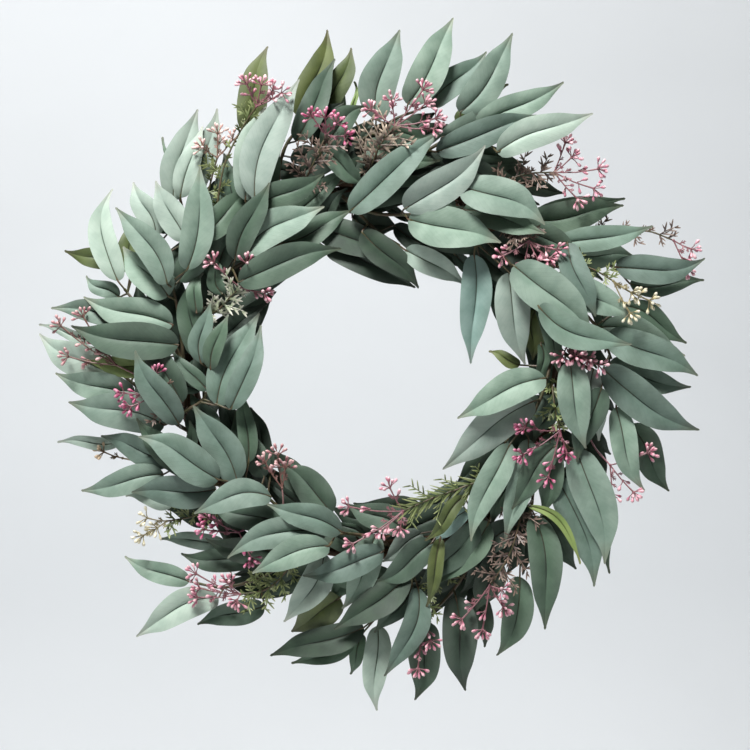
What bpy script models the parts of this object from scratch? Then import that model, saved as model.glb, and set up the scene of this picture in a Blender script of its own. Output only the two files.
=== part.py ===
import math

import bmesh
import bpy
from mathutils import Matrix, Vector
from mathutils.bvhtree import BVHTree

# An artificial eucalyptus wreath, about 0.67 m across: a ring of three twisted vine canes, sprays of long
# willow-like leaves stuck into it pointing clockwise, and picks of pink, magenta and cream buds.
# All the tables below are in millimetres, on the wreath's own face: x to the right and z up from the middle
# of the ring, and d out from the door that it hangs on. The world origin is where the hook holds the ring,
# under its top, so the part hangs below the origin, faces -Y and has the door at y = RING_DEPTH.

RING_RADIUS = 185.0
RING_DEPTH = 22.0
CANE_RADIUS = 6.1
CANE_OFFSET = 8.0
CANE_TURNS = 5
CANE_POINTS = 40
RING_WOBBLE = 1.5
HOOK_DROP = RING_RADIUS - CANE_OFFSET - CANE_RADIUS

STEM_RADIUS = 2.3
STEM_TIP_RADIUS = 1.5
STEM_STEP = 19.0
FORK_RADIUS = 1.9
SEAT_GAP = 0.3
SEAT_STEPS = 60
SEAT_SAMPLES = 8
WELDS = (0.0006, 0.00045, 0.0003, 0.00015, 0.000002)
CLEAR = 0.45
DOOR_CLEAR = 1.0

BLADE_THICKNESS = 1.2
BLADE_STATIONS = (0.14, 0.42, 0.74)
BACK_BLADE_STATIONS = (0.22, 0.62)
BLADE_PEAK = 2.49
PETIOLE_WIDTH = 1.0
PETIOLE_THICKNESS = 1.5
PETIOLE_BACK = 5.0

TWIG_RADIUS = 1.3
TWIG_TIP_RADIUS = 1.0
NEEDLE_LENGTH = 13.0
NEEDLE_FIRST = 0.42
NEEDLE_LAST = 0.92
NEEDLE_AHEAD = 0.75
NEEDLE_TILTS = (0.5, -0.3, 0.9)
NEEDLE_RADIUS = 0.8
NEEDLE_TIP_RADIUS = 0.25
UMBEL_SHIFTS = (0, 3, 6, 9, 12, -3, -6, -9, 15, 18, -12, -15, -18, 21, 24, 27, 30)
RECEPTACLE_SIZE = 2.4
RECEPTACLE_GAP = RECEPTACLE_SIZE / 2 + SEAT_GAP
RAY_RADIUS = 0.65
RAY_END_RADIUS = 1.35
BUD_LENGTH = 14.0
BUD_RADIUS = 2.3
BUD_ROOT = 0.6
BUD_FAN = math.radians(52)
BUD_TURN = 0.25
BUD_STAGGER = 0.45
BUD_ROLL = 0.8
BUD_BELLY = 0.76
RAY_PAST = 0.8

# Each spray is one or two stems. A stem is its route (x, z, d), from the ring outwards, and its leaves, each
# (base x, base z, tip x, tip z, width, sideways bow to its left, base d, tip d).
SPRAYS = {
    "SprayLeftLow": [
        {
            "route": [(-173, -76, 34), (-198, -56, 41), (-226, -28, 42), (-250, -8, 40), (-264, 8, 38)],
            "leaves": [
                (-205, -60, -302, -37, 40, -4, 50, 44),
                (-235, -30, -316, -8, 30, 2, 44, 34),
                (-255, -12, -334, 32, 36, 4, 34, 26),
                (-272, 26, -335, 41, 12, 2, 30, 22),
            ],
        },
        {
            "route": [(-198, -55, 41), (-184, -46, 50), (-166, -34, 54), (-158, -14, 54), (-162, 2, 52)],
            "leaves": [
                (-152, -40, -110, 52, 34, 6, 62, 52),
                (-138, -44, -108, 40, 26, -4, 70, 62),
                (-168, 2, -158, 62, 22, 4, 58, 62),
                (-158, -4, -140, 50, 20, 3, 64, 68),
                (-172, 8, -178, 84, 28, 4, 46, 46),
            ],
        },
    ],
    "SprayLeft": [
        {
            "route": [(-183, -24, 32), (-188, 0, 44), (-197, 24, 50), (-212, 44, 52), (-234, 62, 46), (-246, 76, 40)],
            "leaves": [
                (-205, 8, -285, 5, 24, 8, 52, 46),
                (-190, 20, -297, 39, 38, 5, 62, 60),
                (-196, 40, -286, 68, 34, 2, 56, 50),
                (-230, 50, -320, 57, 26, 0, 48, 40),
                (-252, 68, -286, 90, 18, 2, 36, 30),
                (-252, 84, -258, 177, 29, 13, 46, 38),
                (-238, 92, -244, 147, 26, 2, 30, 20),
                (-240, 105, -310, 116, 24, 2, 24, 16),
            ],
        },
        {
            "route": [(-186, -10, 40), (-187, 14, 46), (-190, 44, 52), (-196, 76, 56), (-206, 104, 52), (-214, 124, 44)],
            "leaves": [
                (-200, 68, -246, 118, 36, 0, 62, 54),
                (-200, 80, -252, 156, 31, -7, 72, 66),
                (-214, 128, -238, 184, 28, -2, 44, 34),
                (-182, 124, -214, 184, 30, 2, 52, 40),
                (-181, 94, -168, 197, 32, -6, 68, 70),
                (-203, 132, -219, 167, 15, 0, 38, 30),
            ],
        },
    ],
    "SprayTopLeft": [
        {
            "route": [(-168, 76, 30), (-177, 104, 32), (-185, 134, 30), (-188, 158, 28)],
            "leaves": [
                (-198, 166, -174, 259, 32, 4, 32, 22),
                (-190, 168, -168, 240, 24, 1, 40, 36),
                (-177, 171, -154, 259, 28, 0, 34, 28),
                (-197, 182, -211, 232, 6, -2, 22, 12),
            ],
        },
    ],
    "SprayTopLeftFront": [
        {
            "route": [(-142, 116, 34), (-136, 136, 44), (-124, 154, 50), (-114, 163, 52)],
            "leaves": [
                (-124, 164, -104, 258, 30, 6, 56, 50),
                (-114, 164, -70, 284, 38, 10, 66, 60),
                (-123, 133, -119, 160, 14, 0, 62, 62),
                (-136, 138, -146, 212, 26, -2, 42, 36),
                (-108, 158, -92, 224, 28, 3, 44, 42),
            ],
        },
        {
            "route": [(-137, 134, 42), (-144, 170, 30), (-136, 204, 24), (-124, 228, 24)],
            "leaves": [(-124, 234, -103, 322, 31, 3, 30, 26)],
        },
    ],
    "SprayTopOuter": [
        {
            "route": [(-90, 160, 32), (-92, 192, 34), (-84, 222, 32), (-66, 244, 28), (-52, 252, 26)],
            "leaves": [
                (-74, 224, -35, 307, 28, -1, 44, 42),
                (-72, 250, -43, 338, 30, -5, 36, 30),
                (-44, 256, -19, 321, 26, -2, 28, 22),
                (-45, 240, -28, 290, 24, -2, 22, 14),
            ],
        },
        {
            "route": [(-92, 184, 34), (-60, 192, 39), (-30, 208, 38), (0, 232, 34), (30, 250, 30), (46, 256, 28)],
            "leaves": [
                (-15, 246, -16, 287, 6, 0, 26, 22),
                (6, 246, 30, 337, 38, 6, 40, 36),
                (38, 262, 84, 350, 36, -3, 34, 30),
                (60, 262, 118, 317, 30, 0, 28, 22),
            ],
        },
    ],
    "SprayTopLeftInner": [
        {
            "route": [(-158, 82, 38), (-138, 96, 46), (-112, 110, 50), (-82, 124, 46), (-60, 132, 42)],
            "leaves": [
                (-124, 112, -45, 157, 36, 7, 60, 64),
                (-130, 82, -28, 115, 34, 5, 66, 66),
                (-55, 140, 30, 100, 34, 4, 46, 36),
                (-44, 118, 46, 78, 30, 3, 38, 28),
                (-152, 96, -124, 152, 26, 2, 44, 42),
            ],
        },
    ],
    "SprayTopRight": [
        {
            "route": [(16, 186, 34), (42, 204, 40), (66, 220, 42), (92, 234, 40), (112, 240, 36)],
            "leaves": [
                (90, 252, 143, 333, 34, -6, 46, 40),
                (86, 245, 140, 284, 22, 0, 32, 24),
                (106, 240, 194, 283, 28, -3, 50, 46),
                (72, 228, 150, 257, 24, 2, 44, 40),
                (66, 212, 172, 248, 30, 2, 56, 56),
                (126, 211, 222, 250, 32, 3, 62, 58),
            ],
        },
    ],
    "SprayTopInner": [
        {
            "route": [(-38, 174, 38), (-14, 158, 48), (14, 150, 52), (40, 150, 54), (72, 160, 54), (90, 170, 54)],
            "leaves": [
                (-20, 152, 72, 232, 34, 2, 62, 64),
                (34, 154, 114, 217, 36, -7, 70, 72),
                (38, 144, 130, 121, 42, 2, 68, 66),
                (90, 176, 173, 138, 40, 8, 70, 72),
            ],
        },
        {
            "route": [(-16, 159, 47), (-2, 142, 44), (16, 128, 40), (30, 120, 38)],
            "leaves": [
                (-8, 132, 49, 77, 30, 2, 46, 36),
                (35, 115, 96, 80, 26, 2, 46, 40),
            ],
        },
    ],
    "SprayRightTopInner": [
        {
            "route": [(84, 158, 40), (98, 136, 48), (108, 118, 48)],
            "leaves": [
                (104, 110, 101, 1, 32, 2, 48, 40),
                (138, 92, 155, 0, 36, -4, 58, 50),
            ],
        },
        {
            "route": [(94, 142, 45), (118, 122, 50), (140, 100, 54), (156, 76, 58), (164, 62, 60)],
            "leaves": [
                (142, 98, 220, 27, 44, 4, 72, 76),
                (166, 57, 258, 20, 31, -11, 82, 78),
                (166, 56, 163, 5, 26, -3, 50, 40),
                (186, 85, 262, 46, 34, 0, 60, 62),
            ],
        },
    ],
    "SprayRightTopOuter": [
        {
            "route": [(118, 146, 28), (148, 150, 26), (178, 138, 28), (208, 120, 30), (236, 104, 32), (254, 92, 30)],
            "leaves": [
                (166, 152, 259, 169, 18, 1, 24, 16),
                (160, 146, 256, 161, 34, -3, 34, 28),
                (176, 138, 218, 136, 20, 0, 20, 14),
                (186, 121, 283, 139, 26, -3, 46, 46),
                (200, 112, 268, 108, 27, 0, 38, 32),
                (246, 98, 336, 107, 30, -8, 44, 40),
                (262, 82, 338, 86, 22, -3, 28, 22),
            ],
        },
    ],
    "SprayRightOuter": [
        {
            "route": [(164, 80, 40), (190, 68, 46), (216, 50, 44), (234, 28, 40), (242, 6, 38)],
            "leaves": [
                (256, 60, 320, 22, 24, 3, 30, 24),
                (232, 38, 317, 9, 30, 6, 38, 34),
                (236, 30, 328, -11, 36, 2, 50, 46),
                (240, 2, 323, -22, 28, -5, 40, 34),
                (232, -4, 329, -65, 38, -8, 56, 50),
            ],
        },
    ],
    "SprayRight": [
        {
            "route": [(184, 34, 36), (194, 12, 46), (212, 0, 50), (232, -14, 46), (248, -34, 38), (256, -52, 32)],
            "leaves": [
                (198, 4, 214, -83, 34, -4, 68, 64),
                (222, -4, 228, -76, 24, -3, 58, 52),
                (246, -42, 275, -126, 28, -6, 46, 42),
                (262, -60, 303, -128, 32, 0, 26, 18),
            ],
        },
        {
            "route": [(189, 24, 41), (180, 0, 48), (174, -22, 52), (164, -46, 54), (150, -66, 52)],
            "leaves": [
                (150, 0, 119, 14, 14, 0, 44, 38),
                (173, -13, 86, -53, 34, -5, 74, 70),
                (162, -36, 72, -104, 38, -4, 64, 58),
                (139, -78, 100, -175, 30, -5, 64, 64),
                (158, -74, 134, -176, 28, 2, 56, 54),
            ],
        },
    ],
    "SprayLowRight": [
        {
            "route": [(176, -46, 36), (190, -72, 42), (206, -92, 42), (218, -110, 38)],
            "leaves": [
                (205, -84, 233, -198, 40, 7, 54, 50),
                (186, -112, 224, -222, 36, 8, 50, 46),
                (226, -118, 242, -211, 17, 2, 28, 24),
            ],
        },
        {
            "route": [(186, -64, 40), (174, -90, 45), (165, -116, 44), (162, -140, 42), (156, -170, 38), (150, -198, 34)],
            "leaves": [
                (157, -140, 209, -198, 10, 13, 60, 60),
                (174, -150, 208, -206, 26, 0, 34, 28),
                (164, -150, 175, -265, 34, 6, 50, 44),
                (150, -212, 127, -292, 32, 8, 42, 36),
            ],
        },
    ],
    "SprayBottomRight": [
        {
            "route": [(130, -134, 32), (118, -166, 36), (102, -198, 34), (84, -226, 32), (64, -248, 30)],
            "leaves": [
                (106, -222, 116, -286, 24, 2, 24, 18),
                (86, -232, 96, -328, 36, -1, 38, 32),
                (58, -258, 45, -338, 34, 3, 34, 28),
            ],
        },
        {
            "route": [(119, -164, 36), (113, -152, 47), (98, -145, 52), (78, -156, 52), (66, -168, 50)],
            "leaves": [
                (93, -130, 54, -174, 16, 1, 66, 66),
                (97, -144, 63, -176, 20, -2, 60, 56),
                (62, -176, 4, -215, 30, 4, 60, 60),
                (70, -172, 56, -241, 16, 1, 60, 56),
                (52, -168, 12, -197, 24, -1, 48, 42),
            ],
        },
    ],
    "SprayBottom": [
        {
            "route": [(76, -168, 34), (62, -192, 42), (46, -208, 44), (28, -230, 40), (6, -254, 32)],
            "leaves": [
                (38, -208, -36, -263, 32, 3, 60, 58),
                (42, -220, 4, -268, 21, 3, 48, 44),
                (48, -222, 14, -311, 28, 10, 54, 48),
                (8, -262, 7, -348, 28, -2, 36, 32),
                (-8, -272, -20, -314, 16, 0, 20, 14),
                (-6, -262, -101, -293, 30, 0, 34, 28),
                (-16, -280, -80, -302, 18, 3, 24, 18),
            ],
        },
    ],
    "SprayBottomInner": [
        {
            "route": [(22, -182, 38), (2, -172, 48), (-20, -168, 54), (-38, -168, 56)],
            "leaves": [
                (6, -168, -28, -243, 32, 4, 62, 56),
                (-42, -162, -141, -191, 32, -11, 72, 72),
                (-40, -178, -116, -205, 30, -6, 80, 80),
                (-46, -186, -86, -256, 32, 8, 58, 54),
                (-38, -148, -90, -98, 34, -4, 48, 38),
                (-30, -232, -80, -270, 36, 0, 26, 18),
            ],
        },
    ],
    "SprayBottomLeftInner": [
        {
            "route": [(-64, -170, 38), (-84, -150, 46), (-100, -134, 50), (-118, -122, 50), (-134, -116, 48)],
            "leaves": [
                (-98, -130, -174, -147, 30, -9, 70, 70),
                (-132, -116, -176, -40, 36, -4, 56, 52),
                (-106, -112, -135, -45, 28, 3, 42, 34),
                (-150, -114, -230, -71, 37, -5, 62, 60),
            ],
        },
    ],
    "SprayBottomLeft": [
        {
            "route": [(-58, -180, 32), (-90, -202, 34), (-122, -218, 34), (-152, -224, 30), (-174, -220, 28)],
            "leaves": [
                (-118, -198, -191, -190, 26, 2, 32, 26),
                (-106, -242, -174, -261, 26, -2, 36, 32),
                (-152, -233, -235, -273, 32, -8, 42, 36),
                (-182, -218, -248, -193, 22, 2, 30, 24),
                (-146, -180, -213, -176, 18, -2, 26, 20),
            ],
        },
    ],
    "SprayLeftLowOuter": [
        {
            "route": [(-142, -124, 32), (-166, -118, 36), (-190, -108, 36), (-212, -98, 34), (-236, -84, 30)],
            "leaves": [
                (-154, -124, -238, -127, 34, 0, 52, 48),
                (-196, -135, -246, -132, 26, -4, 38, 32),
                (-206, -109, -290, -126, 28, 0, 44, 38),
                (-198, -96, -270, -71, 28, 0, 46, 40),
                (-252, -78, -317, -78, 14, 0, 26, 18),
            ],
        },
    ],
}

# More leaves by rule: the share of the stem's length that they stand at, the turn from straight out to
# clockwise in degrees, length, width, and base and tip depth. Two lie over the ring on every stem, and one
# behind the first stem of each spray.
FILL_LEAVES = ((0.15, 80, 84, 30, 42, 42), (0.6, 104, 78, 28, 44, 40))
BACK_LEAVES = ((0.35, 36, 72, 26, 17, 9),)
RULE_LEAF_STALK = 9
RULE_LEAF_BOW = 3
RULE_LEAF_REACH = 268
RULE_LEAF_HOLE = 138
RULE_LEAF_START = 232
BEHIND = 20

# Each pick is a twig with its route (x, z, d) from the ring, its umbels (x, z), how far out they stand, and
# how many needles it carries. The finish is the colour of its buds, then of its twig.
PICKS = {
    "PickTopLeft": {
        "route": [(-150, 118, 38), (-152, 150, 50), (-146, 196, 52), (-130, 232, 50), (-114, 256, 54)],
        "umbels": [(-122, 278), (-108, 277), (-97, 272), (-88, 268)],
        "stand": 60,
        "needles": 5,
        "finish": ("pink", "olive"),
    },
    "PickTopLeftSmall": {
        "route": [(-168, 92, 36), (-168, 140, 46), (-160, 180, 46), (-153, 206, 46)],
        "umbels": [(-152, 230), (-138, 225), (-166, 216)],
        "stand": 48,
        "needles": 5,
        "finish": ("blush", "olive"),
    },
    "PickTopMagenta": {
        "route": [(-72, 170, 38), (-62, 188, 58), (-52, 208, 66), (-44, 226, 66)],
        "umbels": [(-56, 244), (-44, 243), (-34, 237), (-26, 226)],
        "stand": 70,
        "needles": 5,
        "finish": ("magenta", "brown"),
    },
    "PickTop": {
        "route": [(-12, 184, 38), (2, 200, 54), (10, 218, 62), (24, 236, 62)],
        "umbels": [(52, 272), (54, 258), (64, 244), (62, 234), (22, 260), (2, 252)],
        "stand": 64,
        "needles": 5,
        "finish": ("pink", "brown"),
    },
    "PickTopRight": {
        "route": [(110, 150, 38), (132, 180, 48), (154, 190, 52), (182, 192, 52)],
        "umbels": [(194, 220), (200, 206), (226, 195), (222, 176), (206, 166)],
        "stand": 54,
        "needles": 5,
        "finish": ("pink", "brown"),
    },
    "PickRightTop": {
        "route": [(128, 132, 38), (136, 138, 56), (146, 134, 64), (156, 124, 66)],
        "umbels": [(183, 114), (176, 106), (166, 104), (154, 104), (132, 108)],
        "stand": 70,
        "needles": 5,
        "finish": ("pink", "brown"),
    },
    "PickCream": {
        "route": [(166, 92, 34), (196, 100, 52), (224, 94, 58), (240, 84, 62)],
        "umbels": [(258, 72), (256, 52), (276, 64)],
        "stand": 66,
        "needles": 5,
        "finish": ("cream", "olive"),
    },
    "PickRightFar": {
        "route": [(152, 106, 24), (180, 124, 20), (212, 134, 20), (250, 136, 26), (284, 134, 30), (304, 126, 32)],
        "umbels": [(322, 117), (318, 98)],
        "stand": 34,
        "needles": 5,
        "finish": ("pink", "brown"),
    },
    "PickRight": {
        "route": [(186, 40, 38), (190, 30, 52), (196, 20, 60)],
        "umbels": [(190, 9), (202, 9), (214, 5), (225, 0)],
        "stand": 72,
        "needles": 0,
        "finish": ("pink", "pink"),
    },
    "PickRightMagenta": {
        "route": [(186, -8, 38), (182, -26, 54), (184, -46, 62), (188, -64, 64)],
        "umbels": [(152, -88), (176, -110), (194, -86), (154, -62)],
        "stand": 74,
        "needles": 5,
        "finish": ("magenta", "olive"),
    },
    "PickRightPale": {
        "route": [(186, -28, 30), (210, -56, 38), (226, -84, 44), (240, -100, 46)],
        "umbels": [(242, -128), (262, -126), (276, -88)],
        "stand": 48,
        "needles": 0,
        "finish": ("pink", "pink"),
    },
    "PickLowRight": {
        "route": [(158, -104, 38), (150, -150, 52), (138, -190, 56), (120, -218, 56)],
        "umbels": [(92, -252), (112, -262), (130, -222), (132, -240)],
        "stand": 58,
        "needles": 5,
        "finish": ("pink", "brown"),
    },
    "PickBottom": {
        "route": [(96, -164, 34), (80, -196, 42), (62, -226, 44), (54, -248, 46)],
        "umbels": [(47, -266), (60, -274), (48, -302)],
        "stand": 48,
        "needles": 5,
        "finish": ("pink", "olive"),
    },
    "PickBottomInner": {
        "route": [(140, -118, 38), (116, -114, 60), (84, -124, 68), (56, -134, 70), (34, -144, 70)],
        "umbels": [(-20, -140), (-16, -176), (20, -122), (30, -160), (12, -162)],
        "stand": 74,
        "needles": 5,
        "finish": ("pink", "olive"),
    },
    "PickInnerLeft": {
        "route": [(-88, -168, 36), (-86, -152, 52), (-86, -134, 62), (-87, -122, 64)],
        "umbels": [(-103, -98), (-91, -90), (-84, -103)],
        "stand": 66,
        "needles": 0,
        "finish": ("rose", "rose"),
    },
    "PickBottomLeftMagenta": {
        "route": [(-108, -152, 38), (-118, -160, 54), (-130, -166, 60)],
        "umbels": [(-158, -152), (-163, -163), (-118, -190)],
        "stand": 66,
        "needles": 0,
        "finish": ("magenta", "magenta"),
    },
    "PickBottomLeft": {
        "route": [(-72, -172, 36), (-84, -206, 50), (-104, -224, 54), (-128, -228, 54)],
        "umbels": [(-172, -208), (-168, -222), (-170, -231), (-140, -218), (-132, -234)],
        "stand": 58,
        "needles": 5,
        "finish": ("pink", "olive"),
    },
    "PickLeftCream": {
        "route": [(-136, -130, 34), (-160, -146, 42), (-184, -153, 44), (-202, -156, 44)],
        "umbels": [(-222, -153), (-226, -170), (-212, -162)],
        "stand": 46,
        "needles": 5,
        "finish": ("cream", "olive"),
    },
    "PickLeftSeed": {
        "route": [(-166, -96, 28), (-200, -104, 26), (-232, -98, 24), (-250, -94, 24)],
        "umbels": [(-268, -88)],
        "stand": 24,
        "needles": 0,
        "finish": ("beige", "beige"),
    },
    "PickLeft": {
        "route": [(-186, -44, 36), (-194, -46, 54), (-204, -40, 62), (-212, -30, 64)],
        "umbels": [(-242, -28), (-218, -17), (-236, -41), (-212, -10)],
        "stand": 68,
        "needles": 5,
        "finish": ("magenta", "brown"),
    },
    "PickLeftFar": {
        "route": [(-182, -35, 30), (-200, -29, 46), (-228, -12, 58), (-252, 0, 60)],
        "umbels": [(-306, 38), (-284, 47), (-298, 8), (-270, 18), (-260, 10)],
        "stand": 62,
        "needles": 0,
        "finish": ("rose", "rose"),
    },
    "PickLeftInner": {
        "route": [(-166, 44, 38), (-152, 54, 56), (-140, 66, 60), (-130, 76, 62)],
        "umbels": [(-154, 101), (-122, 99), (-106, 92), (-106, 72)],
        "stand": 68,
        "needles": 5,
        "finish": ("magenta", "pale"),
    },
}

# Colour and roughness of each finish.
FINISHES = {
    "leaf": ((0.23, 0.33, 0.27), 0.55),
    "cane": ((0.10, 0.06, 0.035), 0.85),
    "olive": ((0.12, 0.14, 0.05), 0.65),
    "brown": ((0.17, 0.09, 0.075), 0.7),
    "pale": ((0.50, 0.50, 0.40), 0.6),
    "pink": ((0.70, 0.25, 0.33), 0.5),
    "rose": ((0.50, 0.22, 0.22), 0.5),
    "blush": ((0.75, 0.50, 0.46), 0.5),
    "magenta": ((0.45, 0.06, 0.16), 0.5),
    "cream": ((0.74, 0.68, 0.50), 0.5),
    "beige": ((0.52, 0.42, 0.31), 0.6),
}


def world(x, z, d):
    """A point of the wreath's face, x across, z up and d out from the door, in metres in the world."""
    return Vector((x, RING_DEPTH - d, z - HOOK_DROP)) * 0.001


def clear_scene():
    for old in list(bpy.data.objects):
        bpy.data.objects.remove(old, do_unlink=True)


def finish(name):
    """The material of one finish, made once."""
    found = bpy.data.materials.get(name)
    if found:
        return found
    colour, roughness = FINISHES[name]
    made = bpy.data.materials.new(name)
    made.use_nodes = True
    shader = made.node_tree.nodes["Principled BSDF"]
    shader.inputs["Base Color"].default_value = (*colour, 1.0)
    shader.inputs["Roughness"].default_value = roughness
    shader.inputs["Metallic"].default_value = 0.0
    return made


def mesh_object(name, bm, collection):
    """An object from a bmesh in face millimetres, with its points moved to the world's metres."""
    mesh = bpy.data.meshes.new(name)
    for vert in bm.verts:
        vert.co = world(vert.co.x, vert.co.z, -vert.co.y)
    bmesh.ops.recalc_face_normals(bm, faces=bm.faces)
    bm.to_mesh(mesh)
    bm.free()
    made = bpy.data.objects.new(name, mesh)
    collection.objects.link(made)
    return made


def face_point(x, z, d):
    """A point in face millimetres: x across, z up, and -Y out from the door."""
    return Vector((x, -d, z))


def smooth_route(points, step):
    """Points about a step apart on one smooth curve through the route's own points."""
    knots = [face_point(*point) for point in points]
    knots = [2 * knots[0] - knots[1], *knots, 2 * knots[-1] - knots[-2]]
    made = []
    for before, start, end, after in zip(knots, knots[1:], knots[2:], knots[3:]):
        count = max(1, round((end - start).length / step))
        for i in range(count):
            t = i / count
            made.append(
                0.5
                * (
                    2 * start
                    + (end - before) * t
                    + (2 * before - 5 * start + 4 * end - after) * t**2
                    + (3 * start - before - 3 * end + after) * t**3
                )
            )
    return [*made, knots[-2]]


def rooted(route):
    """A route whose first point is moved to the core of the ring, between its canes."""
    x, z, _ = route[0]
    inwards = RING_RADIUS / math.hypot(x, z)
    return [(x * inwards, z * inwards, RING_DEPTH), *route[1:]]


def loft(bm, rings, tip=None):
    """A closed skin over rings of as many points each, with a flat start and a pointed or flat end."""
    loops = [[bm.verts.new(point) for point in ring] for ring in rings]
    count = len(loops[0])
    bm.faces.new(loops[0][::-1])
    for lower, upper in zip(loops, loops[1:]):
        for i in range(count):
            j = (i + 1) % count
            bm.faces.new((lower[i], lower[j], upper[j]))
            bm.faces.new((lower[i], upper[j], upper[i]))
    if tip is None:
        bm.faces.new(loops[-1])
        return
    end = bm.verts.new(tip)
    for i in range(count):
        bm.faces.new((loops[-1][i], loops[-1][(i + 1) % count], end))


def across(along, side):
    """Side made square to a direction, and the third direction, which points out from the door."""
    side = (side - along * side.dot(along)).normalized()
    return side, along.cross(side)


def ring_of(centre, along, radius, sides, roll=0.0):
    """Points round a centre, square to a direction."""
    start = Vector((0, 1, 0)) if abs(along.y) < 0.9 else Vector((1, 0, 0))
    one, two = across(along, start)
    turns = [2 * math.pi * i / sides + roll for i in range(sides)]
    return [centre + radius * (math.cos(a) * one + math.sin(a) * two) for a in turns]


def taper(bm, start, end, start_radius, end_radius, sides):
    """A straight tapered twig between two points, from a cone primitive."""
    along = end - start
    turn = along.to_track_quat("Z", "Y").to_matrix().to_4x4()
    bmesh.ops.create_cone(
        bm,
        cap_ends=True,
        segments=sides,
        radius1=start_radius,
        radius2=end_radius,
        depth=along.length,
        matrix=Matrix.Translation((start + end) / 2) @ turn,
    )


def tube(points, start_radius, end_radius, bevel_resolution, cyclic=False):
    """A round tube along points, from a curve made a mesh, as a bmesh in face millimetres."""
    curve = bpy.data.curves.new("tube", "CURVE")
    curve.dimensions = "3D"
    curve.bevel_depth = 1.0
    curve.bevel_resolution = bevel_resolution
    curve.use_fill_caps = not cyclic
    spline = curve.splines.new("POLY")
    spline.points.add(len(points) - 1)
    spline.use_cyclic_u = cyclic
    last = len(points) - 1
    for i, point in enumerate(points):
        spline.points[i].co = (*point, 1.0)
        spline.points[i].radius = start_radius + (end_radius - start_radius) * i / last
    carrier = bpy.data.objects.new("tube", curve)
    bpy.context.scene.collection.objects.link(carrier)
    graph = bpy.context.evaluated_depsgraph_get()
    mesh = bpy.data.meshes.new_from_object(carrier.evaluated_get(graph))
    bm = bmesh.new()
    bm.from_mesh(mesh)
    bmesh.ops.remove_doubles(bm, verts=bm.verts, dist=0.001)
    bmesh.ops.recalc_face_normals(bm, faces=bm.faces)
    bpy.data.objects.remove(carrier, do_unlink=True)
    bpy.data.meshes.remove(mesh)
    return bm


def shell_of(bm):
    """What a piece takes up: its search tree and its lowest and highest corners."""
    tree = BVHTree.FromBMesh(bm)
    points = [vert.co for vert in bm.verts]
    low = Vector([min(point[i] for point in points) for i in range(3)])
    high = Vector([max(point[i] for point in points) for i in range(3)])
    return tree, low, high


def meets(shell, others):
    tree, low, high = shell
    for other, other_low, other_high in others:
        apart = any(low[i] > other_high[i] or high[i] < other_low[i] for i in range(3))
        if not apart and tree.overlap(other):
            return True
    return False


def cane_points(number):
    """The centre line of one of the ring's three canes, wound round the others."""
    made = []
    for i in range(CANE_POINTS):
        around = 2 * math.pi * i / CANE_POINTS
        wind = CANE_TURNS * around + 2 * math.pi * number / 3
        radius = RING_RADIUS + RING_WOBBLE * math.sin(3 * around + 1) + CANE_OFFSET * math.cos(wind)
        depth = RING_DEPTH + CANE_OFFSET * math.sin(wind)
        made.append(face_point(radius * math.sin(around), radius * math.cos(around), depth))
    return made


def clearance(route, radius, tip_radius, carriers):
    """How near a stem's skin comes to what carries it, or nothing where they cross."""
    bm = tube(route, radius, tip_radius, 0)
    tree = BVHTree.FromBMesh(bm)
    spots = [vert.co.copy() for vert in bm.verts]
    for edge in bm.edges:
        start, end = (vert.co for vert in edge.verts)
        spots += [start.lerp(end, k / SEAT_SAMPLES) for k in range(1, SEAT_SAMPLES)]
    bm.free()
    if any(tree.overlap(carrier) for carrier in carriers):
        return 0.0
    return min(carrier.find_nearest(spot)[3] for carrier in carriers for spot in spots)


def seated(points, radius, tip_radius, carriers):
    """A route with its start cut back along itself until its skin lies just clear of what carries it."""
    finer = []
    for start, end in zip(points, points[1:]):
        finer += [start.lerp(end, i / SEAT_STEPS) for i in range(SEAT_STEPS)]

    def cut(i):
        later = (other for j, other in enumerate(points) if j * SEAT_STEPS > i + SEAT_STEPS / 4)
        return [finer[i], *later]

    def clear(i):
        return not inside(finer[i], carriers) and clearance(cut(i), radius, tip_radius, carriers) >= SEAT_GAP

    first = next((i for i in range(0, len(finer), 8) if clear(i)), None)
    if first is None:
        print("never clear", points[0])
        return points
    while first > 0 and clear(first - 1):
        first -= 1
    return cut(first)


def inside(point, carriers):
    """Whether a point lies within one of the carriers' skins."""
    for tree in carriers:
        near, normal, _, _ = tree.find_nearest(point)
        if (point - near).dot(normal) < 0:
            return True
    return False


def character(row):
    """How a leaf arches out, rolls about its rib and folds along it, each its own way."""
    turn = 0.37 * row[0] + 0.71 * row[1] + 0.53 * row[3]
    arch = 5.0 + 3.0 * math.sin(turn)
    roll = 0.20 * math.sin(1.7 * turn + 1.0)
    fold = 0.20 + 0.06 * math.sin(2.3 * turn + 2.0)
    return arch, roll, fold


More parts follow.
